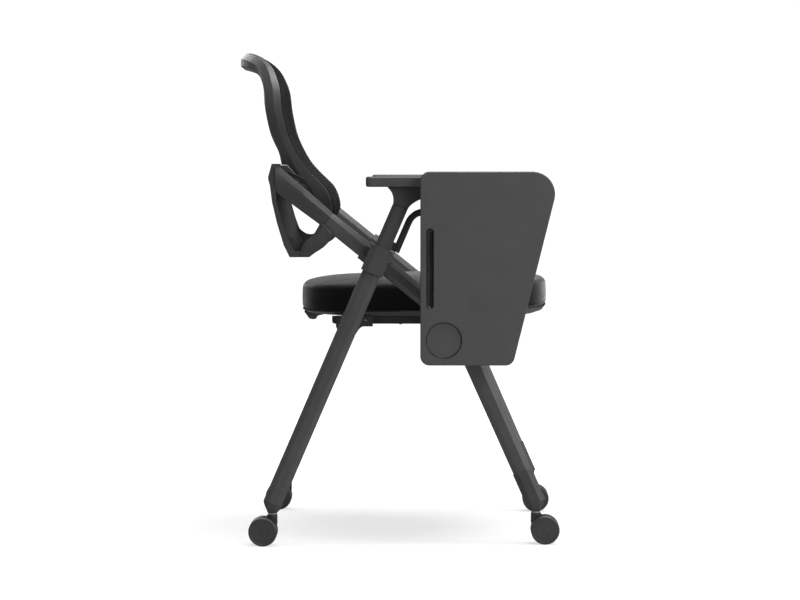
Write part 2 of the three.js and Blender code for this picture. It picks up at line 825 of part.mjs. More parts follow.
function yokeWeb(side) {
  const hollow = new THREE.QuadraticBezierCurve(
    new THREE.Vector2(webTopX, yokeBottom + webTopRise),
    new THREE.Vector2(webMiddleX, yokeBottom + webMiddleRise),
    new THREE.Vector2(webFrontX, yokeBottom + webFrontRise),
  ).getPoints(branchCurvePoints);
  const rootRearX = branchFootRearX - branchRoot;
  const rootFrontX = branchFootFrontX - branchBevel;
  const web = new THREE.Shape([
    ...hollow,
    new THREE.Vector2(rootFrontX, yokeBottom + footBlockHeight),
    new THREE.Vector2(rootRearX, yokeBottom + footBlockHeight / 2),
  ]);
  const block = new THREE.Shape([
    new THREE.Vector2(rootRearX, yokeBottom + seatGap),
    new THREE.Vector2(rootFrontX, yokeBottom + seatGap),
    new THREE.Vector2(rootFrontX, yokeBottom + footBlockHeight),
    new THREE.Vector2(rootRearX, yokeBottom + footBlockHeight),
  ]);
  return joined(
    plate(web, side, tubeInnerY, tubeInnerY + webThickness),
    plate(block, side, tubeInnerY + seatGap, tubeOuterY - branchBevelDepth),
  );
}

function backYoke() {
  const pieces = [yokePanel()];
  for (const side of [rightSide, leftSide]) {
    pieces.push(yokeArm(side));
    pieces.push(yokeBranch(side));
    pieces.push(yokeWeb(side));
    pieces.push(tubePlug(yokeFront, backTubeDown, plugDepth, side, frontLegPlane, backTubeWidth));
  }
  return joined(...pieces);
}

// The seat

const seatPlanPower = 3.4;
const seatPlanPoints = 40;
const seatMiddleX = (seatRearX + seatFrontX) / 2;
const seatHalfLength = (seatFrontX - seatRearX) / 2;

// One level of the seat, which rises by so much from its rear to its front
function seatRing(inset, z, rise) {
  const ring = [];
  for (let i = 0; i < seatPlanPoints; i += 1) {
    const turn = 2 * Math.PI * i / seatPlanPoints;
    const raise = value => Math.sign(value) * Math.abs(value) ** (2 / seatPlanPower);
    const x = seatMiddleX + (seatHalfLength - inset) * raise(Math.cos(turn));
    const y = (seatWidth / 2 - inset) * raise(Math.sin(turn));
    ring.push(new THREE.Vector3(x, y, z + rise * (x - seatRearX) / (seatFrontX - seatRearX)));
  }
  return ring;
}

const inPlan = p => [p.x, p.y];
// How far each level of the cushion is drawn in from its widest line, as shares of its height
const cushionShares = [
  [0.16, 0], [0.05, 0.03], [0, 0.12], [0, 0.45], [0.01, 0.7], [0.045, 0.8], [0.12, 0.865],
  [0.28, 0.91], [0.7, 0.945], [1.7, 0.98], [2.9, 1],
];

function seatCushion() {
  const rings = cushionShares.map(([drawnIn, up]) => seatRing(drawnIn * cushionHeight,
    cushionBottom + up * cushionHeight, seatRise));
  return loft(rings, { capPlane: inPlan });
}

const shellRimInset = 4;
const shellBendInset = 10;
const shellFootInset = 26;
const shellWall = 3;
const shellBendShare = 0.4;

function seatShell() {
  const top = cushionBottom - seatGap;
  const bottom = top - shellDepth;
  const outer = [
    seatRing(shellFootInset, bottom, 0),
    seatRing(shellBendInset, mix(bottom, top, shellBendShare), shellBendShare * seatRise),
    seatRing(shellRimInset, top, seatRise),
  ];
  const hollow = [
    seatRing(shellFootInset + shellWall, bottom + shellWall, 0),
    seatRing(shellRimInset + shellWall, top + overrun, seatRise),
  ];
  return cut(loft(outer, { capPlane: inPlan }), loft(hollow, { capPlane: inPlan }));
}

// Steel rails under the shell, each with an eye round the front cross tube
const railInnerY = 190;
const railThickness = 6;
const railRearX = -81;
const railFrontX = 210;
const railEndRadius = 6;
const railEyeRadius = 17;
const railEyeSpreadShare = 2.2;
const railEyeShoulderShare = 0.34;
const hingeClearance = 0.4;
const railOuterY = railInnerY + railThickness;
const railMiddleY = (railInnerY + railOuterY) / 2;
const saddlePinDiameter = 4;
const saddlePinX = -22;
const saddlePinHeight = (railTop + railBottom) / 2;

function saddlePinBore(side) {
  return crossBar(saddlePinDiameter + 2 * seatGap, saddlePinX, saddlePinHeight,
    side * (railInnerY - saddleWidth), side * (railOuterY + saddleWidth), pinSides);
}

function seatRail(side) {
  const shoulderTurn = Math.asin(railEyeShoulderShare);
  const shoulderX = railEyeRadius * Math.cos(shoulderTurn);
  const shape = new THREE.Shape();
  shape.moveTo(railRearX, railTop);
  shape.lineTo(railRearX, railBottom + railEndRadius);
  shape.quadraticCurveTo(railRearX, railBottom, railRearX + railEndRadius, railBottom);
  shape.lineTo(frontCross.x - railEyeSpreadShare * railEyeRadius, railBottom);
  shape.lineTo(frontCross.x - shoulderX, frontCross.y + railEyeShoulderShare * railEyeRadius);
  shape.absarc(frontCross.x, frontCross.y, railEyeRadius, Math.PI - shoulderTurn,
    2 * Math.PI + shoulderTurn, false);
  shape.lineTo(frontCross.x + railEyeSpreadShare * railEyeRadius, railBottom);
  shape.lineTo(railFrontX - railHeight, railBottom);
  shape.lineTo(railFrontX, railTop);
  const eyeBore = crossBar(frontCrossDiameter + 2 * hingeClearance, frontCross.x, frontCross.y,
    side * (railInnerY - overrun), side * (railOuterY + overrun));
  return cut(
    plate(shape, side, railInnerY, railOuterY, { curveSegments: 9 }),
    eyeBore,
    saddlePinBore(side),
  );
}

// Moulded saddles, pinned under the rails, drop over the rear cross tube and hold the frame open.
// The front lip leans forward, because the tube leaves that way as the seat is lifted.
const saddleRearX = -74;
const saddleFrontX = -9;
const saddleWidth = 22;
const saddleLip = 5;
const saddleFlare = 2.6;
const saddleLipWall = 4;
const saddleSkirt = 4.4;
const saddleNoseLength = 16;

function seatSaddle(side) {
  const room = rearCrossDiameter / 2 + hingeClearance;
  const lipZ = rearCross.y - saddleLip;
  const skirtZ = railBottom - saddleSkirt;
  const rearWall = rearCross.x - room;
  const frontWall = rearCross.x + room + saddleFlare;
  const noseX = saddleFrontX - saddleNoseLength;
  const shape = new THREE.Shape();
  shape.moveTo(saddleRearX, railTop);
  shape.lineTo(saddleRearX, skirtZ);
  shape.lineTo(rearWall - saddleLipWall, lipZ);
  shape.lineTo(rearWall, lipZ);
  shape.lineTo(rearWall, rearCross.y);
  shape.absarc(rearCross.x, rearCross.y, room, Math.PI, 0, true);
  shape.lineTo(frontWall, lipZ);
  shape.lineTo(frontWall + saddleLipWall, lipZ);
  shape.quadraticCurveTo((frontWall + saddleLipWall + noseX) / 2, skirtZ, noseX, skirtZ);
  shape.lineTo(saddleFrontX, skirtZ);
  shape.lineTo(saddleFrontX, railTop);
  const half = saddleWidth / 2;
  const block = plate(shape, side, railMiddleY - half, railMiddleY + half, { curveSegments: 7 });
  const slotLength = saddleFrontX - saddleRearX + 2 * overrun;
  const slotHeight = railHeight + seatGap + overrun;
  const slot = new THREE.BoxGeometry(slotLength, railThickness + 2 * seatGap, slotHeight);
  slot.translate((saddleFrontX + saddleRearX) / 2, side * railMiddleY,
    railBottom - seatGap + slotHeight / 2);
  return cut(block, slot, saddlePinBore(side));
}

function saddlePin(side) {
  const half = saddleWidth / 2;
  return crossBar(saddlePinDiameter, saddlePinX, saddlePinHeight, side * (railMiddleY - half),
    side * (railMiddleY + half), pinSides);
}

// The finger pull under the rear edge of the seat: a flange with a lip that hooks forwards
const pullWidth = 90;
const pullFlange = 3;
const pullRearX = -137.7;
const pullFrontX = -96;
const pullTipX = -113;
const pullDrop = 14.5;
const pullLip = 4;
const pullLean = 14;
const pullBottomShare = 0.8;
const pullShoulderShare = 0.3;

function seatPull() {
  const top = railTop;
  const low = top - pullDrop;
  const bottomX = mix(pullRearX, pullTipX, pullBottomShare);
  const shape = new THREE.Shape();
  shape.moveTo(pullRearX, top);
  shape.quadraticCurveTo(pullRearX + pullLean, top - pullDrop * pullShoulderShare, bottomX - pullLip, low);
  shape.lineTo(pullTipX, low);
  shape.lineTo(pullTipX, low + pullLip);
  shape.lineTo(bottomX, low + pullLip);
  shape.quadraticCurveTo(bottomX - pullLip / 2, top - pullFlange, bottomX - pullLip, top - pullFlange);
  shape.lineTo(pullFrontX, top - pullFlange);
  shape.lineTo(pullFrontX, top);
  const geometry = plate(shape, leftSide, 0, pullWidth, { curveSegments: 5 });
  return geometry.translate(0, -pullWidth / 2, 0);
}

// Armrests

const padBevel = 3;
const padRadius = 12;
const padNarrowing = 5;

function armrestPad(side) {
  const inner = side * padInset;
  const outer = side * (padInset + padWidth);
  const front = padRearX + padLength;
  const shape = new THREE.Shape();
  const corners = [
    [padRearX, inner], [front, inner], [front, outer], [padRearX, outer - side * padNarrowing],
  ];
  corners.forEach(([x, y], i) => {
    const [beforeX, beforeY] = corners[(i + corners.length - 1) % corners.length];
    const [afterX, afterY] = corners[(i + 1) % corners.length];
    const corner = new THREE.Vector2(x, y);
    const back = new THREE.Vector2(beforeX, beforeY).sub(corner).setLength(padRadius).add(corner);
    const on = new THREE.Vector2(afterX, afterY).sub(corner).setLength(padRadius).add(corner);
    if (i === 0) {
      shape.moveTo(back.x, back.y);
    } else {
      shape.lineTo(back.x, back.y);
    }
    shape.quadraticCurveTo(x, y, on.x, on.y);
  });
  const geometry = new THREE.ExtrudeGeometry(shape, {
    depth: padThickness - 2 * padBevel, curveSegments: 5, bevelEnabled: true, bevelSegments: 2,
    bevelSize: padBevel, bevelThickness: padBevel, bevelOffset: -padBevel,
  });
  return geometry.translate(0, 0, padTop - padThickness + padBevel);
}

// The bracket flares from the post to the underside of the pad
const bracketRearX = 18;
const bracketFrontX = 140;
const bracketLip = 5;
const bracketFrontShares = new THREE.Vector2(0.45, 0.62);
const bracketRearShare = 0.6;

function armBracket(side) {
  const top = padTop - padThickness - seatGap;
  const foot = alongRearLeg(armPostTop + seatGap);
  const across = new THREE.Vector2(-rearLegUp.y, rearLegUp.x).multiplyScalar(armPostWidth / 2);
  const rear = foot.clone().add(across);
  const front = foot.clone().sub(across);
  const shape = new THREE.Shape();
  shape.moveTo(front.x, front.y);
  shape.quadraticCurveTo(front.x + rearLegUp.x * armPostWidth / 2, front.y + rearLegUp.y * armPostWidth / 2,
    mix(front.x, bracketFrontX, bracketFrontShares.x), mix(front.y, top, bracketFrontShares.y));
  shape.lineTo(bracketFrontX, top - bracketLip);
  shape.lineTo(bracketFrontX, top);
  shape.lineTo(bracketRearX, top);
  shape.quadraticCurveTo(rear.x + bracketLip / 2, mix(rear.y, top, bracketRearShare), rear.x, rear.y);
  const half = tubeThickness / 2;
  const down = rearLegUp.clone().negate();
  return joined(
    plate(shape, side, rearLegPlane - half, rearLegPlane + half, { curveSegments: 6 }),
    tubePlug(foot, down, armPlugDepth, side, rearLegPlane, armPostWidth),
  );
}

// The tablet's hinge: one pin, leaning out at half a right angle, carried by a bent rod

const rodDiameter = 12;
const rodSides = 10;
const rodOffset = 24;
const rodFootRise = 15;
const rodBendDrop = 18;
const rodDropUnderPad = 44;
const rodTopX = 76;
const rodFrontRise = 5;
const rodBendSteps = 6;
const rodStops = 3;
const rodTopHeight = padTop - padThickness - rodDropUnderPad;
const rodFrontHeight = rodTopHeight + rodFrontRise;
const hingeX = 190.3;
const hingeRise = 38;
const hingeOut = 15;
const hingeTilt = 45;
const hingeDiscRadius = 19;
const hingeDiscThickness = 7;
const hubRadius = 15;
const hubLength = 30;
const hubBoreShare = 0.8;
const hingePinDiameter = 10;
const hingePinHead = 16;
const hingePinHeadThickness = 3.5;
const hingeHeight = rodFrontHeight + hingeRise;
const hingeY = -rearLegPlane - hingeOut;

// Puts a form drawn about the z axis on the tablet's leaning hinge axis
function onHinge(geometry) {
  geometry.rotateX(radians(hingeTilt));
  return geometry.translate(hingeX, hingeY, hingeHeight);
}

const hingeBar = (diameter, fromZ, toZ, sides = discSides) => uprightBar(diameter, 0, 0, fromZ, toZ, sides);

// The rod runs up beside the arm post, bends forward under the armrest and ends in the hub
function rodStations() {
  const beside = new THREE.Vector2(rodOffset / rearLegUp.y, 0);
  const onRod = z => alongRearLeg((z - pivotHeight) / rearLegUp.y).add(beside);
  const foot = onRod(pivotHeight + rodFootRise);
  const bendStart = onRod(rodTopHeight - rodBendDrop);
  const bendEnd = new THREE.Vector2(rodTopX, rodTopHeight);
  const corner = onRod(rodTopHeight - rodStops);
  const bend = new THREE.QuadraticBezierCurve(bendStart, corner, bendEnd);
  const front = new THREE.Vector2(hingeX, rodFrontHeight);
  const stations = [[foot, rearLegUp]];
  for (let i = 0; i <= rodBendSteps; i += 1) {
    stations.push([bend.getPoint(i / rodBendSteps), bend.getTangent(i / rodBendSteps)]);
  }
  stations.push([front, front.clone().sub(bendEnd).normalize()]);
  return stations;
}

const rodTabLength = 14;
const rodTabWidth = 8;

function tabletRod() {
  const y = -rearLegPlane;
  const rings = rodStations().map(([at, along]) => {
    const ring = [];
    for (let i = 0; i < rodSides; i += 1) {
      const turn = 2 * Math.PI * i / rodSides;
      const across = rodDiameter / 2 * Math.cos(turn);
      ring.push(new THREE.Vector3(at.x - along.y * across, y + rodDiameter / 2 * Math.sin(turn),
        at.y + along.x * across));
    }
    return ring;
  });
  const footAlong = (rodFootRise + rodOffset * rearLegUp.x) / rearLegUp.y;
  const tabAt = alongRearLeg(footAlong + rodTabLength / 2);
  const inner = armPostWidth / 2 + seatGap;
  const across = new THREE.Vector2(rearLegUp.y, -rearLegUp.x);
  const corner = (out, up) => tabAt.clone().addScaledVector(across, out)
    .addScaledVector(rearLegUp, up * rodTabLength / 2);
  const shape = new THREE.Shape([corner(inner, -1), corner(rodOffset, -1), corner(rodOffset, 1),
    corner(inner, 1)]);
  const half = rodTabWidth / 2;
  return joined(loft(rings, { capPlane: acrossY }),
    plate(shape, rightSide, rearLegPlane - half, rearLegPlane + half));
}

// The hub: a round boss on the leaning axis that grows out of an upright block over the rod's end
const hubBlockLength = 34;
const hubBlockThickness = 20;
const hubBlockDrop = 11;
const hubBlockRise = 26;

function tabletHub() {
  const block = new THREE.BoxGeometry(hubBlockLength, hubBlockThickness, hubBlockRise + hubBlockDrop);
  block.translate(hingeX, -rearLegPlane, rodFrontHeight + (hubBlockRise - hubBlockDrop) / 2);
  const boss = onHinge(hingeBar(2 * hubRadius, -hubLength, 0));
  const bore = onHinge(hingeBar(hingePinDiameter + 2 * seatGap, -hubLength * hubBoreShare, overrun,
    boltSides));
  const socket = new THREE.CylinderGeometry(rodDiameter / 2 + seatGap, rodDiameter / 2 + seatGap,
    hubBlockLength / 2 + overrun + rodStops, barSides);
  socket.rotateZ(Math.PI / 2);
  const slope = Math.atan2(rodFrontHeight - rodTopHeight, hingeX - rodTopX);
  socket.translate(-(hubBlockLength / 2 + overrun - rodStops) / 2, 0, 0);
  socket.rotateY(-slope);
  socket.translate(hingeX, -rearLegPlane, rodFrontHeight);
  return cut(joined(block, boss), bore, socket);
}

function tabletHingePin() {
  const headStart = hingeDiscThickness + 2 * seatGap;
  return joined(
    onHinge(hingeBar(hingePinDiameter, -hubLength * hubBoreShare + seatGap,
      headStart + hingePinHeadThickness / 2, boltSides)),
    onHinge(hingeBar(hingePinHead, headStart, headStart + hingePinHeadThickness, barSides)),
  );
}

// The bracket: a disc that turns on the pin, and a plate screwed to the back of the tablet
const bracketPlateWidth = 60;
const bracketPlateHeight = 74;
const bracketPlateThickness = 3.5;
const bracketPlateDrop = 2;
const bracketPlateCorner = 10;
const neckWidthShare = 0.8;
const neckDepthShare = 0.7;
const neckHeightShare = 1.2;
const bracketPlateTop = hingeHeight - bracketPlateDrop;

function tabletBracket() {
  const disc = onHinge(hingeBar(2 * hingeDiscRadius, seatGap, seatGap + hingeDiscThickness));
  const bore = onHinge(hingeBar(hingePinDiameter + 2 * seatGap, -overrun, hingeDiscThickness + overrun,
    boltSides));
  const outerY = tabletInnerY - seatGap;
  const shape = new THREE.Shape();
  const left = hingeX - bracketPlateWidth / 2;
  const right = hingeX + bracketPlateWidth / 2;
  const bottom = bracketPlateTop - bracketPlateHeight;
  const radius = bracketPlateCorner;
  shape.moveTo(left + radius, bottom);
  shape.lineTo(right - radius, bottom);
  shape.quadraticCurveTo(right, bottom, right, bottom + radius);
  shape.lineTo(right, bracketPlateTop - radius);
  shape.quadraticCurveTo(right, bracketPlateTop, right - radius, bracketPlateTop);
  shape.lineTo(left + radius, bracketPlateTop);
  shape.quadraticCurveTo(left, bracketPlateTop, left, bracketPlateTop - radius);
  shape.lineTo(left, bottom + radius);
  shape.quadraticCurveTo(left, bottom, left + radius, bottom);
  const sheet = plate(shape, rightSide, outerY - bracketPlateThickness, outerY, { curveSegments: 4 });
  const neckWidth = 2 * hingeDiscRadius * neckWidthShare;
  const neckDepth = hingeDiscRadius * neckDepthShare;
  const neck = new THREE.BoxGeometry(neckWidth, neckDepth, hingeDiscThickness * neckHeightShare);
  neck.translate(hingeX, -(outerY - neckDepth / 2 - bracketPlateThickness / 2),
    bracketPlateTop - hingeDiscThickness);
  return cut(joined(disc, sheet, neck), bore);
}

// The writing surface: round corners, a slanting front edge, a pen groove and a cup recess
const tabletSlantBottomX = 234.6;
const tabletSlantTop = 609.6;
const tabletCorner = 16;
const tabletFrontCorner = 39;
const grooveX = 92.3;
const grooveWidth = 12.8;
const grooveBottom = 415.5;
const grooveTop = 554.2;
const grooveDepth = 4;
const cupX = 116;
const cupHeight = 361.1;
const cupRadius = 31.4;
const cupDepth = 3;
const tabletBevel = 1.5;

// A closed outline, drawn counterclockwise, whose corners are arcs
function roundedOutline(corners, radii) {
  const shape = new THREE.Shape();
  corners.forEach((corner, i) => {
    const before = corners[(i + corners.length - 1) % corners.length].clone().sub(corner).normalize();
    const after = corners[(i + 1) % corners.length].clone().sub(corner).normalize();
    const half = Math.acos(before.dot(after)) / 2;
    const middle = before.clone().add(after).setLength(radii[i] / Math.sin(half)).add(corner);
    const start = Math.atan2(before.x, -before.y);
    shape.absarc(middle.x, middle.y, radii[i], start, start + Math.PI - 2 * half, false);
  });
  shape.closePath();
  return shape;
}

function tabletTopBoard() {
  const bottom = tabletTop - tabletHeight;
  const right = tabletLeftX + tabletWidth;
  const slant = (right - tabletSlantBottomX) / (tabletSlantTop - bottom);
  const corners = [
    new THREE.Vector2(tabletLeftX, bottom),
    new THREE.Vector2(tabletSlantBottomX, bottom),
    new THREE.Vector2(right + slant * (tabletTop - tabletSlantTop), tabletTop),
    new THREE.Vector2(tabletLeftX, tabletTop),
  ];
  const radii = [tabletCorner, tabletCorner, tabletFrontCorner, tabletCorner];
  const outerY = tabletInnerY + tabletThickness;
  const board = plate(roundedOutline(corners, radii), rightSide, tabletInnerY, outerY,
    { bevel: tabletBevel, bevelDepth: tabletBevel, curveSegments: 8 });
  const groove = new THREE.Shape();
  const half = grooveWidth / 2;
  groove.absarc(grooveX, grooveTop - half, half, 0, Math.PI, false);
  groove.absarc(grooveX, grooveBottom + half, half, Math.PI, 2 * Math.PI, false);
  const cup = new THREE.Shape();
  cup.absarc(cupX, cupHeight, cupRadius, 0, 2 * Math.PI, false);
  return cut(
    board,
    plate(groove, rightSide, outerY - grooveDepth, outerY + overrun),
    plate(cup, rightSide, outerY - cupDepth, outerY + overrun, { curveSegments: 32 }),
  );
}

// Finishes

const finish = (color, roughness, metalness) => new THREE.MeshStandardMaterial(
  { color, roughness, metalness },
);
const frameGrey = finish(0x46474a, 0.5, 0.35);
const mouldedBlack = finish(0x2b2c2e, 0.6, 0);
const tabletGrey = finish(0x4a4a4b, 0.65, 0);
const fabricBlack = finish(0x18191a, 0.95, 0);
const meshBlack = finish(0x1c1d1e, 0.9, 0);
const steel = finish(0xb9bbbd, 0.25, 1);
const blackSteel = finish(0x1d1d1f, 0.45, 0.5);
const wheelGrey = finish(0x3a3b3c, 0.55, 0);

const chair = new THREE.Group();

function add(name, geometry, material) {
  const mesh = new THREE.Mesh(facingOut(geometry), material);
  mesh.name = name;
  chair.add(mesh);
}

for (const side of [rightSide, leftSide]) {
  const name = sideName(side);
  add(`front_leg_${name}`, frontLeg(side), frameGrey);
  add(`pivot_collar_${name}`, pivotCollar(side), mouldedBlack);
  add(`pivot_bolt_${name}`, pivotBolt(side), steel);
  add(`foot_cap_front_${name}`, frontFootCap(side), mouldedBlack);
  add(`rear_leg_${name}`, rearLeg(side), frameGrey);
  add(`pivot_sleeve_${name}`, pivotSleeve(side), mouldedBlack);
  add(`arm_post_${name}`, armPost(side), frameGrey);
  add(`foot_cap_rear_${name}`, footCap(side, rearFoot, rearLegUp, rearLegPlane, rearLegWidth),
    mouldedBlack);
  add(`arm_bracket_${name}`, armBracket(side), mouldedBlack);
  add(`armrest_pad_${name}`, armrestPad(side), mouldedBlack);
  add(`seat_rail_${name}`, seatRail(side), blackSteel);
  add(`seat_saddle_${name}`, seatSaddle(side), mouldedBlack);
  add(`saddle_pin_${name}`, saddlePin(side), steel);
  for (const [end, foot, planeY, trail] of [
    ['front', frontFoot, frontLegPlane, casterTrail],
    ['rear', rearFoot, rearLegPlane, -casterTrail],
  ]) {
    add(`caster_stem_${end}_${name}`, casterStem(side, foot, planeY), steel);
    add(`caster_fork_${end}_${name}`, casterFork(side, foot, planeY, trail), mouldedBlack);
    add(`caster_axle_${end}_${name}`, casterAxle(side, foot, planeY, trail), steel);
    add(`wheel_${end}_${name}_outer`, wheel(side, foot, planeY, trail, side), wheelGrey);
    add(`wheel_${end}_${name}_inner`, wheel(side, foot, planeY, trail, -side), wheelGrey);
  }
}

add('front_cross_tube', frontCrossTube(), frameGrey);
add('rear_cross_tube', rearCrossTube(), frameGrey);
add('back_yoke', backYoke(), mouldedBlack);
add('back_frame', backFrame(), mouldedBlack);
add('back_mesh', backMesh(), meshBlack);
add('seat_cushion', seatCushion(), fabricBlack);
add('seat_shell', seatShell(), mouldedBlack);
add('seat_pull', seatPull(), mouldedBlack);
add('tablet_rod', tabletRod(), blackSteel);
add('tablet_hub', tabletHub(), mouldedBlack);
add('tablet_hinge_pin', tabletHingePin(), steel);
add('tablet_bracket', tabletBracket(), blackSteel);
add('tablet_board', tabletTopBoard(), tabletGrey);

// The origin is the middle of the footprint, on the floor
const extent = new THREE.Box3().setFromObject(chair);
const middle = extent.getCenter(new THREE.Vector3());
chair.position.set(-middle.x, -middle.y, -extent.min.z);
chair.updateMatrixWorld(true);

export default chair;
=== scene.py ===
import math

import bpy
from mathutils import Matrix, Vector


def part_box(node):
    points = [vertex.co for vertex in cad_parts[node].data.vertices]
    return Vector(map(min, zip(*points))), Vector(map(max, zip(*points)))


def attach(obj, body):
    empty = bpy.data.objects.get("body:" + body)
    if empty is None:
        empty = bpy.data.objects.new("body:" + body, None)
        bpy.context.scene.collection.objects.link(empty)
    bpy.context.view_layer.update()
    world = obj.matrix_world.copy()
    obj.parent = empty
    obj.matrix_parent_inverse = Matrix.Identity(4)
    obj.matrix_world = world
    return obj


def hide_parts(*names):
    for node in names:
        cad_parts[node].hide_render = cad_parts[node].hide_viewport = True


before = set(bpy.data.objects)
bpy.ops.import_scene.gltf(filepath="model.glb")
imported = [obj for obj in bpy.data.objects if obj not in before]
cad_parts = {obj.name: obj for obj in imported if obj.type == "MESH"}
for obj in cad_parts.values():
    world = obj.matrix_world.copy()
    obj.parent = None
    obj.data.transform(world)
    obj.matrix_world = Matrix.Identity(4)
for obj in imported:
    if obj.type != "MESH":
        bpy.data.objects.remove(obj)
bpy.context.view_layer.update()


# The camera, the floor and the lights
# The chair stands on a white floor that carries only its soft shadow. The camera looks almost
# squarely at its right side from 5.7 metres, from above the seat and a little before the pivot.

# Places are counted as on the drawing: x from the fold pivot, y from the chair's middle, z from
# the floor, in millimetres.
bolt_low, bolt_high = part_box("pivot_bolt_right")
far_bolt_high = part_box("pivot_bolt_left")[1]
pivot_x = (bolt_low.x + bolt_high.x) / 2
middle_y = (bolt_low.y + far_bolt_high.y) / 2


def place(x, y, z):
    return Vector((pivot_x + x / 1000, middle_y + y / 1000, z / 1000))


camera_x, camera_y, camera_z = 93.31, -5705.2, 678.45
camera_yaw = math.radians(0.56419)
camera_pitch = math.radians(2.63929)
camera_focal_pixels = 3122.6
image_width = 800
sensor_width = 36.0
camera_reach = 60

camera_data = bpy.data.cameras.new("camera")
camera_data.sensor_width = sensor_width
camera_data.lens = camera_focal_pixels / image_width * sensor_width
camera_data.clip_end = camera_reach
camera = bpy.data.objects.new("camera", camera_data)
bpy.context.scene.collection.objects.link(camera)
looking = Vector((-math.sin(camera_yaw) * math.cos(camera_pitch),
                  math.cos(camera_yaw) * math.cos(camera_pitch), -math.sin(camera_pitch)))
camera.location = place(camera_x, camera_y, camera_z)
camera.rotation_euler = looking.to_track_quat("-Z", "Y").to_euler()
bpy.context.scene.camera = camera
bpy.context.scene.view_settings.view_transform = "Standard"


class Number:
    """A shader socket that sums are written with. Each operation adds its Math node."""

    def __init__(self, finish, socket):
        self.finish = finish
        self.socket = socket

    def math(self, operation, first, second):
        return self.finish.node("ShaderNodeMath", {"operation": operation}, {0: first, 1: second})

    def __add__(self, other):
        return self.math("ADD", self, other)

    def __radd__(self, other):
        return self.math("ADD", other, self)

    def __rsub__(self, other):
        return self.math("SUBTRACT", other, self)

    def __mul__(self, other):
        return self.math("MULTIPLY", self, other)

    def __rmul__(self, other):
        return self.math("MULTIPLY", other, self)


class Finish:
    """The nodes of one material, round its Principled shader."""

    def __init__(self, name, color, roughness, **even):
        self.material = bpy.data.materials.new(name)
        self.material.use_nodes = True
        self.tree = self.material.node_tree
        self.shader = self.tree.nodes["Principled BSDF"]
        self.shader.inputs["Base Color"].default_value = (*color, 1)
        self.shader.inputs["Roughness"].default_value = roughness
        for name, value in even.items():
            self.shader.inputs[name.replace("_", " ")].default_value = value

    def node(self, kind, settings=None, inputs=None, output=0):
        made = self.tree.nodes.new(kind)
        for name, value in (settings or {}).items():
            setattr(made, name, value)
        for name, value in (inputs or {}).items():
            self.feed(made.inputs[name], value)
        return Number(self, made.outputs[output])

    def feed(self, socket, value):
        if isinstance(value, Number):
            self.tree.links.new(value.socket, socket)
        else:
            socket.default_value = value

    def on_shader(self, name, value):
        self.feed(self.shader.inputs[name], value)

    def where(self):
        return self.node("ShaderNodeTexCoord", output=3)

    def along(self, axis):
        """How far a point lies along x (0), y (1) or z (2), in metres."""
        return self.node("ShaderNodeSeparateXYZ", {}, {0: self.where()}, output=axis)

    def noise(self, scale, detail=2.0, stretch=(1, 1, 1)):
        at = self.node("ShaderNodeMapping", {}, {"Vector": self.where(), "Scale": stretch})
        return self.node("ShaderNodeTexNoise", {}, {"Vector": at, "Scale": scale, "Detail": detail})

    def cells(self, scale):
        return self.node("ShaderNodeTexVoronoi", {}, {"Vector": self.where(), "Scale": scale})

    def ripple(self, axis, pitch):
        """A sine from -1 to 1 along an axis, whose waves are pitch millimetres long."""
        turns = self.along(axis) * (2 * math.pi * 1000 / pitch)
        return self.node("ShaderNodeMath", {"operation": "SINE"}, {0: turns})

    def ramp(self, value, low, high):
        """0 up to low, 1 from high, and evenly between."""
        return self.node("ShaderNodeMapRange", {}, {0: value, 1: low, 2: high, 3: 0.0, 4: 1.0})

    def between(self, factor, low, high):
        """A colour that goes from low to high with the factor."""
        return self.node("ShaderNodeMix", {"data_type": "RGBA"},
                         {0: factor, 6: (*low, 1), 7: (*high, 1)}, output=2)

    def bump(self, height, depth):
        """Bends the normal by a height, of which 1 stands for depth millimetres."""
        self.on_shader("Normal", self.node("ShaderNodeBump", {}, {
            "Height": height, "Distance": depth / 1000, "Strength": 1.0}))

    def polish(self, least, spread, scale, detail):
        """The roughness drifts from least upwards by the spread, in clouds of this scale."""
        self.on_shader("Roughness", least + spread * self.noise(scale, detail))

    def shade(self, low, high, scale, detail, start=0.3, end=0.7):
        """The colour drifts from low to high, in clouds of this scale."""
        self.on_shader("Base Color", self.between(
            self.ramp(self.noise(scale, detail), start, end), low, high))


floor_half = 12.0
floor_white = 0.42
floor_mesh = bpy.data.meshes.new("floor")
floor_mesh.from_pydata([(-floor_half, -floor_half, 0), (floor_half, -floor_half, 0),
                        (floor_half, floor_half, 0), (-floor_half, floor_half, 0)], [], [(0, 1, 2, 3)])
floor = bpy.data.objects.new("floor", floor_mesh)
bpy.context.scene.collection.objects.link(floor)
floor_finish = Finish("floor white", (floor_white,) * 3, 0.95, Specular_IOR_Level=0.0)
# The glow that only the camera sees makes up for the light that falls off away from the chair
glow_near, glow_far, glow_start, glow_end = 0.63, 1.0, 0.55, 1.9
from_chair = floor_finish.node("ShaderNodeVectorMath", {"operation": "LENGTH"},
                               {0: floor_finish.where()}, output=1)
floor_glow = floor_finish.node("ShaderNodeEmission", {}, {
    "Strength": 1.0, "Color": floor_finish.between(
        floor_finish.ramp(from_chair, glow_start, glow_end), (glow_near,) * 3, (glow_far,) * 3)})
floor_seen = floor_finish.node("ShaderNodeLightPath", output=0)
seen_glow = floor_finish.node("ShaderNodeMixShader", {}, {0: floor_seen})
floor_finish.tree.links.new(floor_glow.socket, seen_glow.socket.node.inputs[2])
floor_sum = floor_finish.node("ShaderNodeAddShader", {}, {1: seen_glow})
floor_finish.tree.links.new(floor_finish.shader.outputs[0], floor_sum.socket.node.inputs[0])
floor_finish.tree.links.new(floor_sum.socket, floor_finish.tree.nodes["Material Output"].inputs[0])
floor.data.materials.append(floor_finish.material)

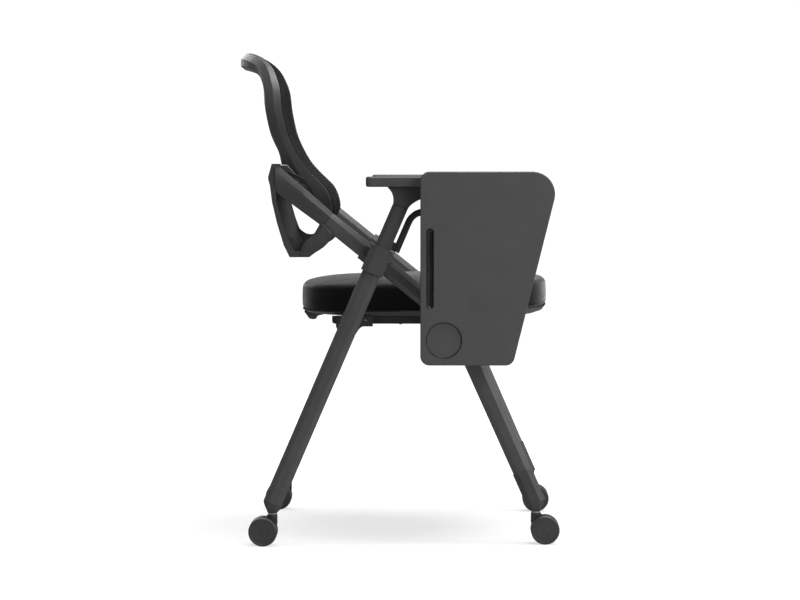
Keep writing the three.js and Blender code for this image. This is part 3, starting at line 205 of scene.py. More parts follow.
# The studio's walls light the chair weakly, and the camera sees them as plain white
wall_light, wall_seen = 0.18, 1.1
world = bpy.data.worlds.new("studio")
bpy.context.scene.world = world
world.use_nodes = True
studio = world.node_tree
studio_light = studio.nodes["Background"]
studio_light.inputs["Color"].default_value = (1, 1, 1, 1)
studio_light.inputs["Strength"].default_value = wall_light
studio_white = studio.nodes.new("ShaderNodeBackground")
studio_white.inputs["Color"].default_value = (1, 1, 1, 1)
studio_white.inputs["Strength"].default_value = wall_seen
studio_path = studio.nodes.new("ShaderNodeLightPath")
studio_mix = studio.nodes.new("ShaderNodeMixShader")
studio.links.new(studio_path.outputs["Is Camera Ray"], studio_mix.inputs[0])
studio.links.new(studio_light.outputs[0], studio_mix.inputs[1])
studio.links.new(studio_white.outputs[0], studio_mix.inputs[2])
studio.links.new(studio_mix.outputs[0], studio.nodes["World Output"].inputs[0])


def softbox(name, at, toward, size, power):
    data = bpy.data.lights.new(name, "AREA")
    data.shape = "RECTANGLE"
    data.size, data.size_y = size
    data.energy = power
    lamp = bpy.data.objects.new(name, data)
    bpy.context.scene.collection.objects.link(lamp)
    lamp.location = at
    lamp.rotation_euler = (Vector(toward) - Vector(at)).to_track_quat("-Z", "Y").to_euler()


# Where each softbox hangs, what it points at and its two sides, in metres, and its watts
softboxes = {
    "overhead": ((0.4, -0.1, 3.0), (0, 0, 0.5), (2.2, 2.2), 125),
    "camera_side": ((2.3, -3.0, 1.6), (0, 0, 0.5), (2.0, 1.6), 49),
    "before_chair": ((2.8, -0.8, 1.2), (0.1, 0, 0.5), (1.0, 1.8), 18),
    "behind_chair": ((-2.8, -0.9, 1.3), (-0.1, 0, 0.6), (1.0, 1.8), 1),
    "far_side": ((-1.6, 3.0, 1.7), (0, 0, 0.5), (1.8, 1.6), 34),
}
for name, (at, toward, size, power) in softboxes.items():
    softbox(name, at, toward, size, power)


# Steel tube frame
# Two front frame tubes, two rear legs, two arm posts and two cross tubes, of steel with a dark
# grey powder coat. The tube is eight-sided: broad facets meet at soft ridges.

def grey(level, warmth=0.0):
    """A neutral colour by its level on screen, from 0 to 255, in the linear light that shaders use."""
    value = ((level / 255 + 0.055) / 1.055) ** 2.4
    return (value * (1 + warmth), value, value * (1 - warmth))


def on_nodes(finish, *names):
    """A CAD piece keeps its shape and takes this finish."""
    for name in names:
        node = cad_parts[name]
        node.data.materials.clear()
        node.data.materials.append(finish.material)


weld_gap, face_weight = 1e-5, 80


def soften(*names, radius, angle=24, segments=3, smooth_angle=38):
    """The moulded, rolled or broken edges of CAD pieces, rounded to this radius in millimetres."""
    for name in names:
        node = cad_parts[name]
        if node.data.has_custom_normals:
            with bpy.context.temp_override(object=node, active_object=node):
                bpy.ops.mesh.customdata_custom_splitnormals_clear()
        for face in node.data.polygons:
            face.use_smooth = True
        weld = node.modifiers.new("weld", "WELD")
        weld.merge_threshold = weld_gap
        if radius:
            edge = node.modifiers.new("edge", "BEVEL")
            edge.width = radius / 1000
            edge.segments = segments
            edge.limit_method = "ANGLE"
            edge.angle_limit = math.radians(angle)
            edge.use_clamp_overlap = True
        split = node.modifiers.new("split", "EDGE_SPLIT")
        split.split_angle = math.radians(smooth_angle)
        flat = node.modifiers.new("flat", "WEIGHTED_NORMAL")
        flat.weight = face_weight
        flat.keep_sharp = True


def pairs(*names):
    return [f"{name}_{side}" for name in names for side in ("right", "left")]


powder_low, powder_high = grey(69), grey(78)
tube_paint = Finish("powder coat", powder_low, 0.42, Specular_IOR_Level=0.5)
tube_paint.bump(tube_paint.noise(850, 3), 0.03)
tube_paint.polish(0.28, 0.16, 45, 4)
tube_paint.shade(powder_low, powder_high, 14, 5)
on_nodes(tube_paint, *pairs("front_leg", "rear_leg", "arm_post"), "front_cross_tube", "rear_cross_tube")
soften(*pairs("front_leg", "rear_leg", "arm_post"), radius=0.9, angle=16, segments=2, smooth_angle=17)
soften("front_cross_tube", "rear_cross_tube", radius=0.6, angle=50)


# Sleeves, collars, brackets and foot caps
# Injection-moulded glass-filled nylon with a fine spark-eroded grain, pushed on to the tubes.
# Their edges are rounded by the mould, and the grain shines a little where hands polish it.

def moulded(name, level, grain=0.05, shine=0.5, spread=4):
    """Moulded plastic of this level, whose grain is that many millimetres deep."""
    low, high = grey(level - spread), grey(level + spread)
    finish = Finish(name, low, shine, Specular_IOR_Level=0.5)
    pits = finish.cells(1500) * 0.6 + finish.noise(2600, 2) * 0.6
    finish.bump(pits, grain)
    finish.polish(shine - 0.08, 0.18, 38, 5)
    finish.shade(low, high, 22, 6, 0.32, 0.68)
    return finish


sleeve_plastic = moulded("sleeve plastic", 66)
cap_plastic = moulded("foot cap plastic", 59)
bracket_plastic = moulded("bracket plastic", 62)
on_nodes(sleeve_plastic, *pairs("pivot_sleeve", "pivot_collar"))
on_nodes(cap_plastic, *pairs("foot_cap_front", "foot_cap_rear"))
on_nodes(bracket_plastic, *pairs("arm_bracket"))
soften(*pairs("pivot_sleeve"), radius=1.2, angle=20, smooth_angle=20)
soften(*pairs("pivot_collar", "arm_bracket"), radius=0.9)
soften(*pairs("foot_cap_front", "foot_cap_rear"), radius=0.8, angle=30, smooth_angle=34)


# Casters
# Two nylon wheels turn on a steel axle through a moulded web, under a zinc-plated stem with its
# washer. A wheel has a rounded tread, a raised rim line, a shallow dished face and a hub boss.

zinc_low, zinc_high = grey(150), grey(196, 0.02)
zinc = Finish("zinc plate", zinc_high, 0.3, Metallic=1.0)
zinc.bump(zinc.noise(260, 3, stretch=(1, 1, 14)), 0.02)
zinc.polish(0.2, 0.22, 120, 4)
zinc.shade(zinc_low, zinc_high, 70, 4)
on_nodes(zinc, *pairs("pivot_bolt", "saddle_pin", "caster_stem_front", "caster_stem_rear",
                      "caster_axle_front", "caster_axle_rear"))
soften(*pairs("pivot_bolt", "caster_stem_front", "caster_stem_rear"), radius=0.4, angle=50)
fork_plastic = moulded("caster web plastic", 52)
on_nodes(fork_plastic, *pairs("caster_fork_front", "caster_fork_rear"))
soften(*pairs("caster_fork_front", "caster_fork_rear"), radius=0.9, angle=30)


def lay_mesh(name, points, faces, finish, body, sharp=35, stands_for=()):
    """A piece of its own, made of points in metres and faces, that rides on a body."""
    mesh = bpy.data.meshes.new(name)
    mesh.from_pydata([tuple(p) for p in points], [], faces)
    mesh.validate()
    mesh.polygons.foreach_set("use_smooth", [True] * len(mesh.polygons))
    mesh.set_sharp_from_angle(angle=math.radians(sharp))
    mesh.materials.append(finish.material)
    piece = bpy.data.objects.new(name, mesh)
    bpy.context.scene.collection.objects.link(piece)
    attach(piece, body)
    if stands_for:
        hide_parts(*stands_for)
    return piece


def skin(rings, around=True, along=False, caps=True):
    """Faces between rings of equally many points. around closes each ring, along the row of them."""
    count = len(rings[0])
    points = [p for ring in rings for p in ring]
    faces = []
    for r in range(len(rings) if along else len(rings) - 1):
        first, second = r * count, (r + 1) % len(rings) * count
        for i in range(count if around else count - 1):
            j = (i + 1) % count
            faces.append((first + i, first + j, second + j, second + i))
    if caps and not along:
        faces.append(tuple(range(count))[::-1])
        faces.append(tuple(range((len(rings) - 1) * count, len(rings) * count)))
    return points, faces


def turned_piece(profile, centre, axis, steps):
    """Rings round an axis: a profile of (radius, distance along the axis) in millimetres."""
    axis = Vector(axis).normalized()
    across = axis.orthogonal().normalized()
    up = axis.cross(across)
    rings = []
    for radius, far in profile:
        rings.append([centre + axis * (far / 1000) + (across * math.cos(2 * math.pi * i / steps)
                      + up * math.sin(2 * math.pi * i / steps)) * (radius / 1000) for i in range(steps)])
    return skin(rings)


wheel_plastic = moulded("wheel plastic", 56, grain=0.03, shine=0.46)
scuffs = wheel_plastic.ramp(wheel_plastic.noise(320, 5, stretch=(1, 0.15, 1)), 0.6, 0.78)
wheel_plastic.on_shader("Roughness", 0.4 + 0.25 * scuffs)
wheel_steps = 72
# Radius as a share of the wheel's, and distance out from the web as a share of its width
wheel_profile = [
    (0.06, 0.70), (0.13, 0.70), (0.13, 0.0), (0.28, 0.0), (0.28, 0.26), (0.81, 0.26), (0.83, 0.0),
    (0.93, 0.0), (0.975, 0.03), (1.0, 0.1), (1.0, 0.8), (0.99, 0.87), (0.955, 0.94), (0.91, 0.985),
    (0.87, 1.0), (0.85, 0.985), (0.84, 0.965), (0.82, 0.965), (0.6, 0.975), (0.3, 0.982),
    (0.285, 0.975), (0.27, 0.982), (0.1, 0.985), (0.02, 0.985),
]
for end in ("front", "rear"):
    for side, outward in (("right", -1), ("left", 1)):
        for which, sense in (("outer", 1), ("inner", -1)):
            name = f"wheel_{end}_{side}_{which}"
            low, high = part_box(name)
            radius = (low.z + high.z) / 2 * 1000
            width = (high.y - low.y) * 1000
            out = outward * sense
            web_y = high.y if out < 0 else low.y
            hub = Vector(((low.x + high.x) / 2, web_y, radius / 1000))
            points, faces = turned_piece([(r * radius, d * width) for r, d in wheel_profile],
                                         hub, (0, out, 0), wheel_steps)
            lay_mesh(f"{name}.turned", points, faces, wheel_plastic, name, sharp=50,
                     stands_for=(name,))


# The back frame
# One moulded ring, hollowed from side to side and swept back above the lumbar bend. It is deepest
# where a lug on each side reaches the arm of the yoke. A soft ridge runs along its outer side.

back_bottom, back_top, back_width = 560.0, 865.0, 412.0
back_front_x, back_sway = -73.4, 126.0
# The outline is round above its widest height and squarer below
back_widest, crown_power, foot_power = 712.0, 2.6, 7
# The hollow across the back deepens to the head's, which is narrower, between these heights
head_start, head_end = 790, 845
back_hollow, head_hollow, head_narrowing = 20, 70, 0.58
back_curve_steps, outline_samples, rim_stations = 12, 1440, 264
# The back from its side: each point as a share of its height and a share of its sway to the rear
back_curve_shares = [
    (0, 0.035), (0.067, 0.002), (0.102, 0.01), (0.16, 0.055), (0.208, 0.12), (0.25, 0.22),
    (0.302, 0.348), (0.374, 0.488), (0.507, 0.648), (0.644, 0.722), (0.744, 0.735), (0.83, 0.73),
    (0.905, 0.715), (1, 0.71),
]


def mix(low, high, share):
    return low + (high - low) * share


def smooth(value, low, high):
    share = min(1.0, max(0.0, (value - low) / (high - low)))
    return share * share * (3 - 2 * share)


def powered(value, power):
    """A power that keeps the sign, for outlines between an ellipse and a rectangle."""
    return math.copysign(abs(value) ** power, value)


def curve_through(points, steps):
    """A smooth open curve through points, which may be tuples of any length."""
    count = len(points)
    found = []
    for i in range(count - 1):
        before, a, b, after = (points[max(0, i - 1)], points[i], points[i + 1],
                               points[min(count - 1, i + 2)])
        for k in range(steps):
            t = k / steps
            found.append(tuple(0.5 * (2 * a1 + (b1 - z1) * t + (2 * z1 - 5 * a1 + 4 * b1 - c1) * t * t
                                      + (3 * a1 - z1 - 3 * b1 + c1) * t ** 3)
                               for z1, a1, b1, c1 in zip(before, a, b, after)))
    return found + [tuple(points[-1])]


back_curve = curve_through([(back_bottom + up * (back_top - back_bottom), back_front_x - rear * back_sway)
                            for up, rear in back_curve_shares], back_curve_steps)


def back_curve_x(z):
    for (low, x_low), (high, x_high) in zip(back_curve, back_curve[1:]):
        if z <= high:
            return mix(x_low, x_high, (z - low) / (high - low))
    return back_curve[-1][1]


def back_surface(y, z, behind):
    """A point of the back, so far behind the mesh's face. The head falls back in the middle only."""
    out = min(1.0, abs(y) / (back_width / 2))
    bell = (1 + math.cos(math.pi * out)) / 2
    head = smooth(z, head_start, head_end)
    hollow = mix(back_hollow, head_hollow, head) * mix(1 - out * out, bell, head * head_narrowing)
    return place(back_curve_x(z) - hollow - behind, y, z)


def back_outline(count):
    """Points evenly round the outline of the back, counted in y and z."""
    samples = []
    for i in range(outline_samples + 1):
        turn = 2 * math.pi * i / outline_samples
        upper = math.sin(turn) > 0
        power = 2 / (crown_power if upper else foot_power)
        reach = back_top - back_widest if upper else back_widest - back_bottom
        samples.append(Vector((powered(math.cos(turn), power) * back_width / 2,
                               back_widest + reach * powered(math.sin(turn), power))))
    lengths = [0.0]
    for a, b in zip(samples, samples[1:]):
        lengths.append(lengths[-1] + (b - a).length)
    outline, k = [], 1
    for i in range(count):
        wanted = lengths[-1] * i / count
        while lengths[k] < wanted:
            k += 1
        share = (wanted - lengths[k - 1]) / (lengths[k] - lengths[k - 1])
        outline.append(samples[k - 1].lerp(samples[k], share))
    return outline


# The ring's face is wider at the head
face_width_low, face_width_head = 26, 33
outline = back_outline(rim_stations)
rim = []
for i, at in enumerate(outline):
    run = (outline[(i + 2) % rim_stations] - outline[i - 2]).normalized()
    inward = Vector((-run.y, run.x))
    rim.append((at, inward, mix(face_width_low, face_width_head, max(0.0, -inward.y))))

# The section, from the outer edge of the face: shares of the face's width and of the depth
ring_corners = [(0.08, 0), (0, 0.06), (0.02, 0.5), (0.3, 1), (0.72, 1), (0.92, 0.75), (1, 0.2),
                (0.94, 0)]


def eased(corners, share):
    """A closed outline whose corners are rounded over this share of the sides next to them."""
    found = []
    for i, corner in enumerate(corners):
        before, after = corners[i - 1], corners[(i + 1) % len(corners)]
        start = [mix(c, b, share) for c, b in zip(corner, before)]
        end = [mix(c, a, share) for c, a in zip(corner, after)]
        for t in (0, 0.25, 0.5, 0.75, 1):
            found.append(tuple((1 - t) ** 2 * s + 2 * t * (1 - t) * c + t * t * e
                               for s, c, e in zip(start, corner, end)))
    return found


# The ring's depth along the head and foot, at the sides, and where it deepens towards the lugs
depth_ends, depth_side, depth_wing = 20, 30, 58
wing_height, wing_reach = 618, 74
side_start, side_full = 0.25, 0.9
face_behind_mesh = 2.3
ring_section = eased(ring_corners, share=0.07)
ring_rings = []
for at, inward, face_width in rim:
    wing = 1 - smooth(abs(at.y - wing_height), 0, wing_reach)
    depth = mix(depth_ends, mix(depth_side, depth_wing, wing),
                smooth(abs(inward.x), side_start, side_full))
    ring_rings.append([back_surface(*(at + inward * (across * face_width)),
                                    mix(face_behind_mesh, depth, behind))
                       for across, behind in ring_section])
points, faces = skin(ring_rings, along=True)


def add_part(points, faces, more):
    """Puts another part, its points and faces, into a piece."""
    first = len(points)
    points.extend(more[0])
    faces.extend(tuple(first + i for i in face) for face in more[1])


# The lugs lie in line with the back tubes: from the ring out to the arm of the yoke
tube_lean = math.radians(39)
tube_run = Vector((math.cos(tube_lean), 0, -math.sin(tube_lean)))
tube_across = Vector((math.sin(tube_lean), 0, math.cos(tube_lean)))
pivot_height = 497
lug_height, lug_middle_y, lug_reach = 13, 207.35, 35.35
# Where along x the lug's ends and their rounding lie, and the share of its height there
lug_stations = ((-132, 0.82), (-130.6, 1), (-95.4, 1), (-94, 0.82))
lug_corner = [(-0.36, 1), (0.36, 1), (0.46, 0.86), (0.5, 0.6), (0.5, -0.6), (0.46, -0.86), (0.36, -1),
              (-0.36, -1), (-0.46, -0.86), (-0.5, -0.6), (-0.5, 0.6), (-0.46, 0.86)]
for side in (-1, 1):
    rings = []
    for x, share in lug_stations:
        far = x / tube_run.x
        centre = Vector((0, 0, pivot_height)) + tube_run * far
        rings.append([place(*(centre + tube_across * (lug_height * up * share)
                              + Vector((0, side * (lug_middle_y + lug_reach * out), 0))))
                      for up, out in lug_corner])
    add_part(points, faces, skin(rings))
ring_plastic = moulded("back ring plastic", 64, grain=0.05, shine=0.4)
lay_mesh("back_frame.moulded", points, faces, ring_plastic, "front_frame", sharp=30,
         stands_for=("back_frame",)).modifiers.new("flat", "WEIGHTED_NORMAL").weight = 90


# The back mesh
# One elastic net, stretched over the face of the ring and round its edge. Its thick threads run
# across and its thin ones upwards, with open holes between, so it looks ribbed and almost black.

net_rib, net_warp = 4.4, 2.6
# How far in from the ring's edge the outer rows lie, as shares of its face
net_edge_shares = (0.02, 0.08, 0.94)
net_inner_rows, net_closed_share = 24, 0.004
net_edge_behind, net_behind = 2.0, 1.0
net = Finish("stretched net", grey(14), 0.7, Specular_IOR_Level=0.2)
rib = net.ripple(2, net_rib)
warp = net.ripple(1, net_warp)
net.bump(rib * 0.35 + warp * 0.15 + 0.5, 0.5)
net.on_shader("Base Color", net.between(
    net.ramp(rib + 0.3 * net.noise(300, 3), -0.6, 1.1), grey(5), grey(26)))
# A hole is open where both threads leave room
hole = net.ramp(rib * -1.0, 0.6, 0.75) * net.ramp(warp * -1.0, 0.2, 0.4)
net.on_shader("Alpha", 1.0 - 0.8 * hole)
net_rows = []
for across in net_edge_shares:
    net_rows.append([at + inward * (across * width) for at, inward, width in rim])
mouth = net_rows[-1]
middle = Vector((0, back_widest))
for r in reversed(range(net_inner_rows)):
    net_rows.append([middle.lerp(p, max(r / net_inner_rows, net_closed_share)) for p in mouth])
rings = [[back_surface(p.x, p.y, net_edge_behind if row == 0 else net_behind) for p in ring]
         for row, ring in enumerate(net_rows)]
points, faces = skin(rings, caps=False)
net_sheet = lay_mesh("back_mesh.net", points, faces, net, "front_frame", sharp=60,
                     stands_for=("back_mesh",))


# The yoke
# One moulding behind the back: a panel that wraps round, an arm on each side in line with the back
# tubes, and a lower branch. Its edges are rounded by the mould, and the upper ones catch the light.

yoke_plastic = moulded("yoke plastic", 60, grain=0.05, shine=0.38)
on_nodes(yoke_plastic, "back_yoke")
soften("back_yoke", radius=1.6, angle=32, smooth_angle=36)

# A web in each upper corner closes the gap between the panel and the ring
gusset_side = [(-174, 664), (-158, 663), (-143, 646), (-136, 632), (-150, 626), (-170, 640)]
gusset_middle_x, gusset_middle_z = -156, 646
# Each layer's share of that outline, and how far out it lies: the edges are chamfered
gusset_layers = ((0.9, 219), (1.0, 220.5), (1.0, 233), (0.9, 234.5))
gusset_points, gusset_faces = [], []
for side in (-1, 1):
    rings = [[place(mix(gusset_middle_x, x, share), side * y, mix(gusset_middle_z, z, share))
              for x, z in gusset_side] for share, y in gusset_layers]
    add_part(gusset_points, gusset_faces, skin(rings))
lay_mesh("yoke_gussets", gusset_points, gusset_faces, yoke_plastic, "front_frame",
         sharp=40)

# Two folded spring clips on each side hold the ring's lug in the yoke's arm
clip_steel = Finish("clip steel", grey(125), 0.34, Metallic=1.0)
clip_steel.polish(0.22, 0.2, 300, 3)
clip_steel.bump(clip_steel.noise(900, 2, stretch=(1, 8, 1)), 0.01)
clip_lines = [((-155.4, 650.9), (-128.4, 639.4)), ((-143.9, 636.7), (-123.3, 623.9))]
clip_half_thickness, clip_tip_half = 0.6, 0.35
clip_inner_y, clip_outer_y = 224, 241
clip_stations = (0.0, 0.04, 0.96, 1.0)
clip_section = ((-1, clip_inner_y), (-1, clip_outer_y), (1, clip_outer_y), (1, clip_inner_y))
clip_points, clip_faces = [], []
for side in (-1, 1):
    for (x0, z0), (x1, z1) in clip_lines:
        along = Vector((x1 - x0, 0, z1 - z0)).normalized()
        over = Vector((-along.z, 0, along.x))
        rings = []
        for far in clip_stations:
            centre = Vector((mix(x0, x1, far), 0, mix(z0, z1, far)))
            thick = clip_tip_half if far in (0.0, 1.0) else clip_half_thickness
            rings.append([place(*(centre + over * (up * thick) + Vector((0, side * y, 0))))
                          for up, y in clip_section])
        add_part(clip_points, clip_faces, skin(rings))
lay_mesh("back_clips", clip_points, clip_faces, clip_steel, "front_frame", sharp=30)


# The seat cushion
# Cut foam on a hard shell, covered in one black woven cloth that is pulled tight round the side.
# It is crowned on top, its shoulder is tight, and the side stands almost upright.

seat_rear_x, seat_front_x, seat_width = -142.2, 305.0, 464.0
cushion_bottom, cushion_height, seat_rise = 403.0, 55.0, 8.0
# From the foot up: how far each level is drawn in and how high it lies, as shares of the height
cushion_shares = [
    (0.55, 0.004), (0.16, 0.0), (0.07, 0.02), (0.015, 0.08), (0.0, 0.2), (0.0, 0.45), (0.008, 0.7),
    (0.02, 0.77), (0.06, 0.83), (0.13, 0.87), (0.28, 0.905), (0.7, 0.945), (1.2, 0.968), (1.9, 0.984),
    (2.7, 0.995), (3.4, 1.0), (3.85, 1.0), (4.0, 1.0),
]
cushion_foot_shares = [(4.0, 0.004), (3.6, 0.004), (2.4, 0.004), (1.2, 0.004)]
cushion_start_inset = 0.2
seat_corner_power, seat_stations = 3.4, 112


def seat_ring(inset, z, count):
    """One level of the seat, which rises from its rear to its front."""
    ring = []
    for i in range(count):
        turn = 2 * math.pi * i / count
        across = powered(math.cos(turn), 2 / seat_corner_power)
        side = powered(math.sin(turn), 2 / seat_corner_power)
        x = (seat_rear_x + seat_front_x) / 2 + ((seat_front_x - seat_rear_x) / 2 - inset) * across
        y = (seat_width / 2 - inset) * side
        ring.append(place(x, y, z + seat_rise * (x - seat_rear_x) / (seat_front_x - seat_rear_x)))
    return ring


cloth_low, cloth_high = grey(11), grey(19)
cloth = Finish("seat cloth", cloth_low, 0.92, Specular_IOR_Level=0.2, Sheen_Weight=0.55,
               Sheen_Roughness=0.32)
thread = 1.7
# The weave shows faintly through knots and slubs, over slow hollows in the foam
weave = (cloth.ripple(0, thread) * cloth.ripple(1, thread) + cloth.ripple(1, thread)
         * cloth.ripple(2, thread) + cloth.ripple(0, thread) * cloth.ripple(2, thread))
slub = cloth.noise(420, 4, stretch=(1, 6, 6))
knit = cloth.cells(780)
cloth.bump(weave * 0.05 + knit * 0.4 + slub * 0.4 + cloth.noise(22, 3) * 3.0, 0.3)
cloth.on_shader("Base Color", cloth.between(
    cloth.ramp(weave * 0.06 + slub * 0.6 + knit * 0.5, 0.2, 0.9), cloth_low, cloth_high))

cushion_rings = [seat_ring(cushion_start_inset + drawn * cushion_height,
                           cushion_bottom + cushion_start_inset * (1 if up < 0.5 else -1) * 0.5
                           + up * cushion_height, seat_stations)
                 for drawn, up in cushion_foot_shares + cushion_shares]
points, faces = skin(cushion_rings)
cushion = lay_mesh("seat_cushion.sewn", points, faces, cloth, "seat", sharp=180,
                   stands_for=("seat_cushion",))
# The cloth is worked on the free piece, which takes its body again afterwards
cushion.parent = None
swell_cap, swell_pressure, swell_frames = 2.4, 4, 20
draw_in_share, foot_sink_share = 0.1, 0.3


def worn(piece):
    """Keeps what a piece's modifiers make of it as its own mesh."""
    bpy.context.view_layer.update()
    scene_state = bpy.context.evaluated_depsgraph_get()
    made = bpy.data.meshes.new_from_object(piece.evaluated_get(scene_state), depsgraph=scene_state)
    piece.modifiers.clear()
    piece.data = made
    for face in made.polygons:
        face.use_smooth = True


start = [(v.co.copy(), v.normal.copy()) for v in cushion.data.vertices]
swell = cushion.modifiers.new("swell", "CLOTH")
swell.settings.use_pressure = True
swell.settings.uniform_pressure_force = swell_pressure
swell.settings.effector_weights.gravity = 0
for step in range(1, swell_frames + 1):
    bpy.context.scene.frame_set(step)
worn(cushion)
bpy.context.scene.frame_set(1)
for vertex, (before, outward) in zip(cushion.data.vertices, start):
    moved = vertex.co - before
    # The foam holds its corners out: it swells, and hardly draws in
    if moved.dot(outward) < 0:
        moved *= draw_in_share
    if moved.length > swell_cap / 1000:
        moved *= swell_cap / 1000 / moved.length
    moved.z = max(moved.z, -(cushion_start_inset * foot_sink_share) / 1000)
    vertex.co = before + moved
rounded = cushion.modifiers.new("round", "SUBSURF")
rounded.levels = 2
rounded.render_levels = 2
worn(cushion)
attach(cushion, "seat")

# A welt is sewn along the foot of the cover, over the rim of the shell
welt_inset, welt_lift, welt_radius = 4.6, 0.5, 1.3
welt_stations, welt_steps = 200, 10
welt_rings = []
welt_path = seat_ring(welt_inset, cushion_bottom + welt_lift, welt_stations)
for i, at in enumerate(welt_path):
    run = (welt_path[(i + 1) % welt_stations] - welt_path[i - 1]).normalized()
    out = run.cross(Vector((0, 0, 1))).normalized()
    welt_rings.append([at + (out * math.cos(2 * math.pi * k / welt_steps)
                             + Vector((0, 0, math.sin(2 * math.pi * k / welt_steps))))
                       * (welt_radius / 1000) for k in range(welt_steps)])
points, faces = skin(welt_rings, along=True)
welt_cloth = Finish("welt cloth", grey(34), 0.8, Specular_IOR_Level=0.3)
welt_thread = 1.4
welt_cloth.bump(welt_cloth.ripple(0, welt_thread) * 0.4 + welt_cloth.ripple(1, welt_thread) * 0.4 + 0.5,
                0.2)
welt_cloth.shade(grey(26), grey(42), 200, 4)
lay_mesh("seat_welt", points, faces, welt_cloth, "seat", sharp=60)


# The seat shell, its rails, saddles and finger pull
# The shell is a shallow moulded dish. Two black steel rails are screwed under it, and a moulded
# saddle is pinned to each. The pull is screwed under the rear edge.

shell_plastic = moulded("shell plastic", 60, grain=0.07, shine=0.55)
on_nodes(shell_plastic, "seat_shell")
soften("seat_shell", radius=0.5, angle=35)
saddle_plastic = moulded("saddle plastic", 52, grain=0.04, shine=0.5)
on_nodes(saddle_plastic, *pairs("seat_saddle"))
pull_plastic = moulded("pull plastic", 74, grain=0.03, shine=0.45)
# The side view of the pull: a flange under the shell that runs down into a hooked lip
pull_corners = [(-137.5, 397.6), (-131.3, 389.4), (-127.6, 383.9), (-120.5, 382.2), (-114.9, 383.0),
                (-115.3, 388.0), (-96.2, 392.4), (-96.2, 396.4), (-120, 396.6)]
pull_half, pull_middle_x, pull_middle_z = 45, -120, 392
# How far across each layer lies, and its share of that side view: the ends are rounded
pull_layers = ((-1, 0.86), (-0.99, 0.97), (-0.975, 1), (0.975, 1), (0.99, 0.97), (1, 0.86))
pull_rings = [[place(mix(pull_middle_x, x, share), y * pull_half, mix(pull_middle_z, z, share))
               for x, z in eased(pull_corners, share=0.2)] for y, share in pull_layers]
points, faces = skin(pull_rings)
lay_mesh("seat_pull.moulded", points, faces, pull_plastic, "seat", sharp=40,
         stands_for=("seat_pull",))
soften(*pairs("seat_saddle"), radius=0.8, angle=30)
soften(*pairs("saddle_pin"), radius=0.3, angle=50)

black_low, black_high = grey(36), grey(50)
black_steel = Finish("black coated steel", black_low, 0.4, Specular_IOR_Level=0.5)
black_steel.bump(black_steel.noise(700, 4), 0.04)
black_steel.polish(0.32, 0.2, 60, 4)
black_steel.shade(black_low, black_high, 40, 5, 0.35, 0.7)
on_nodes(black_steel, *pairs("seat_rail"))
soften(*pairs("seat_rail"), radius=0.8, angle=40)

# A screw head: rings from its edge up to the round recess and down into it, as shares of its radius
screw_profile = [(0.96, -0.05), (1.0, 0.0), (1.0, 0.18), (0.92, 0.36), (0.7, 0.5), (0.4, 0.56),
                 (0.36, 0.55), (0.3, 0.25), (0.05, 0.2)]
screw_radius, screw_steps = 2.6, 24
rail_middle_y, rail_foot = 193, 382.4
rail_screw_places = (40, 90)
screw_outline = [(r * screw_radius, h * screw_radius) for r, h in screw_profile]
points, faces = [], []
for side in (-1, 1):
    for x in rail_screw_places:
        add_part(points, faces, turned_piece(screw_outline, place(x, side * rail_middle_y, rail_foot),
                                             (0, 0, -1), screw_steps))
lay_mesh("rail_screws", points, faces, zinc, "seat", sharp=50)


# Armrests
# A firm pad of moulded foam with a closed grained skin sits on each bracket. Its edges are rounded,
# and its skin is a little lighter than the bracket below.

pad_skin = moulded("pad skin", 74, grain=0.08, shine=0.56)
on_nodes(pad_skin, *pairs("armrest_pad"))
soften(*pairs("armrest_pad"), radius=1.2, angle=26, segments=4)


# The tablet and its hinge
# The board is one moulding with a fine texture, a pen groove and a shallow cup recess. A bent
# black rod carries the hub, whose leaning pin the board's bracket turns on.

board_plastic = moulded("board plastic", 74, grain=0.04, shine=0.55, spread=2)
on_nodes(board_plastic, "tablet_board")
soften("tablet_board", radius=0.4, angle=40)

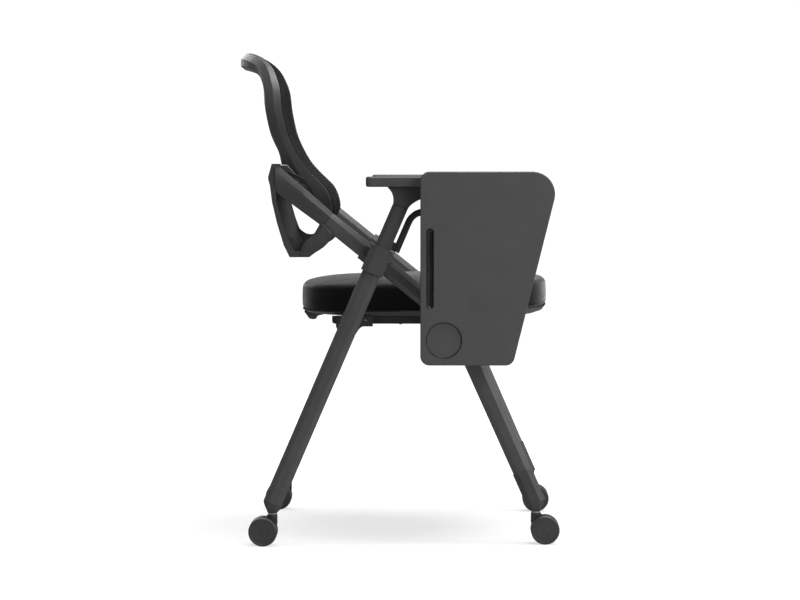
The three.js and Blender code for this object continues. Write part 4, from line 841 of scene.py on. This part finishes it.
# A dark trough laid in the pen groove is painted shade that darkens the groove, and a thin dark ring
# round the floor of the cup recess is a painted shadow line in its corner
face_y = (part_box("tablet_board")[0].y - middle_y) * 1000
groove_x, groove_low, groove_high, groove_width = 92.3, 415.5, 554.2, 12.8
shade_trough_gap, shade_trough_half_turn = 0.8, 12
# From the trough's edge to its middle: the share of its half width, and the depth in millimetres
shade_trough_profile = ((1.0, 0.5), (0.97, 1.2), (0.86, 2.3), (0.6, 3.2), (0.3, 3.6), (0.02, 3.7))
# This dark plastic is painted shade: it darkens the groove's trough and draws the shadow ring in the cup
painted_shade_plastic = moulded("trough plastic", 18, grain=0.001, shine=0.24)
shade_trough_round = groove_width / 2 - shade_trough_gap
shade_trough_rings = []
for far in range(2 * shade_trough_half_turn + 1):
    upper = far <= shade_trough_half_turn
    lean = math.pi * (far if upper else far - 1) / shade_trough_half_turn
    centre = groove_high - groove_width / 2 if upper else groove_low + groove_width / 2
    shade_trough_rings.append([place(groove_x + math.cos(lean) * shade_trough_round * share, face_y + deep,
                               centre + math.sin(lean) * shade_trough_round * share)
                         for share, deep in shade_trough_profile])
points, faces = skin(shade_trough_rings, around=False, along=True)
lay_mesh("pen_groove_shade", points, faces, painted_shade_plastic, "tablet", sharp=60)
cup_x, cup_z, cup_radius, cup_depth, cup_shadow_steps = 116.0, 361.1, 31.4, 3.0, 96
# The section of the painted shadow ring: how far in from the cup's wall, and how far above its floor
cup_shadow_section = [(0.2, 0.2), (0.3, 0.6), (0.9, 0.9), (1.5, 0.6), (1.6, 0.05), (0.4, 0.05)]
cup_shadow_outline = [(cup_radius - inset, up) for inset, up in cup_shadow_section + cup_shadow_section[:1]]
points, faces = turned_piece(cup_shadow_outline, place(cup_x, face_y + cup_depth, cup_z), (0, -1, 0), cup_shadow_steps)
lay_mesh("cup_shadow_ring", points, faces[:-2], painted_shade_plastic, "tablet", sharp=60)
on_nodes(black_steel, "tablet_rod", "tablet_bracket")
soften("tablet_rod", radius=0)
soften("tablet_bracket", radius=0.8, angle=40)
hub_plastic = moulded("hub plastic", 44)
on_nodes(hub_plastic, "tablet_hub")
soften("tablet_hub", radius=1.2, angle=30)
on_nodes(zinc, "tablet_hinge_pin")
soften("tablet_hinge_pin", radius=0.3, angle=50)
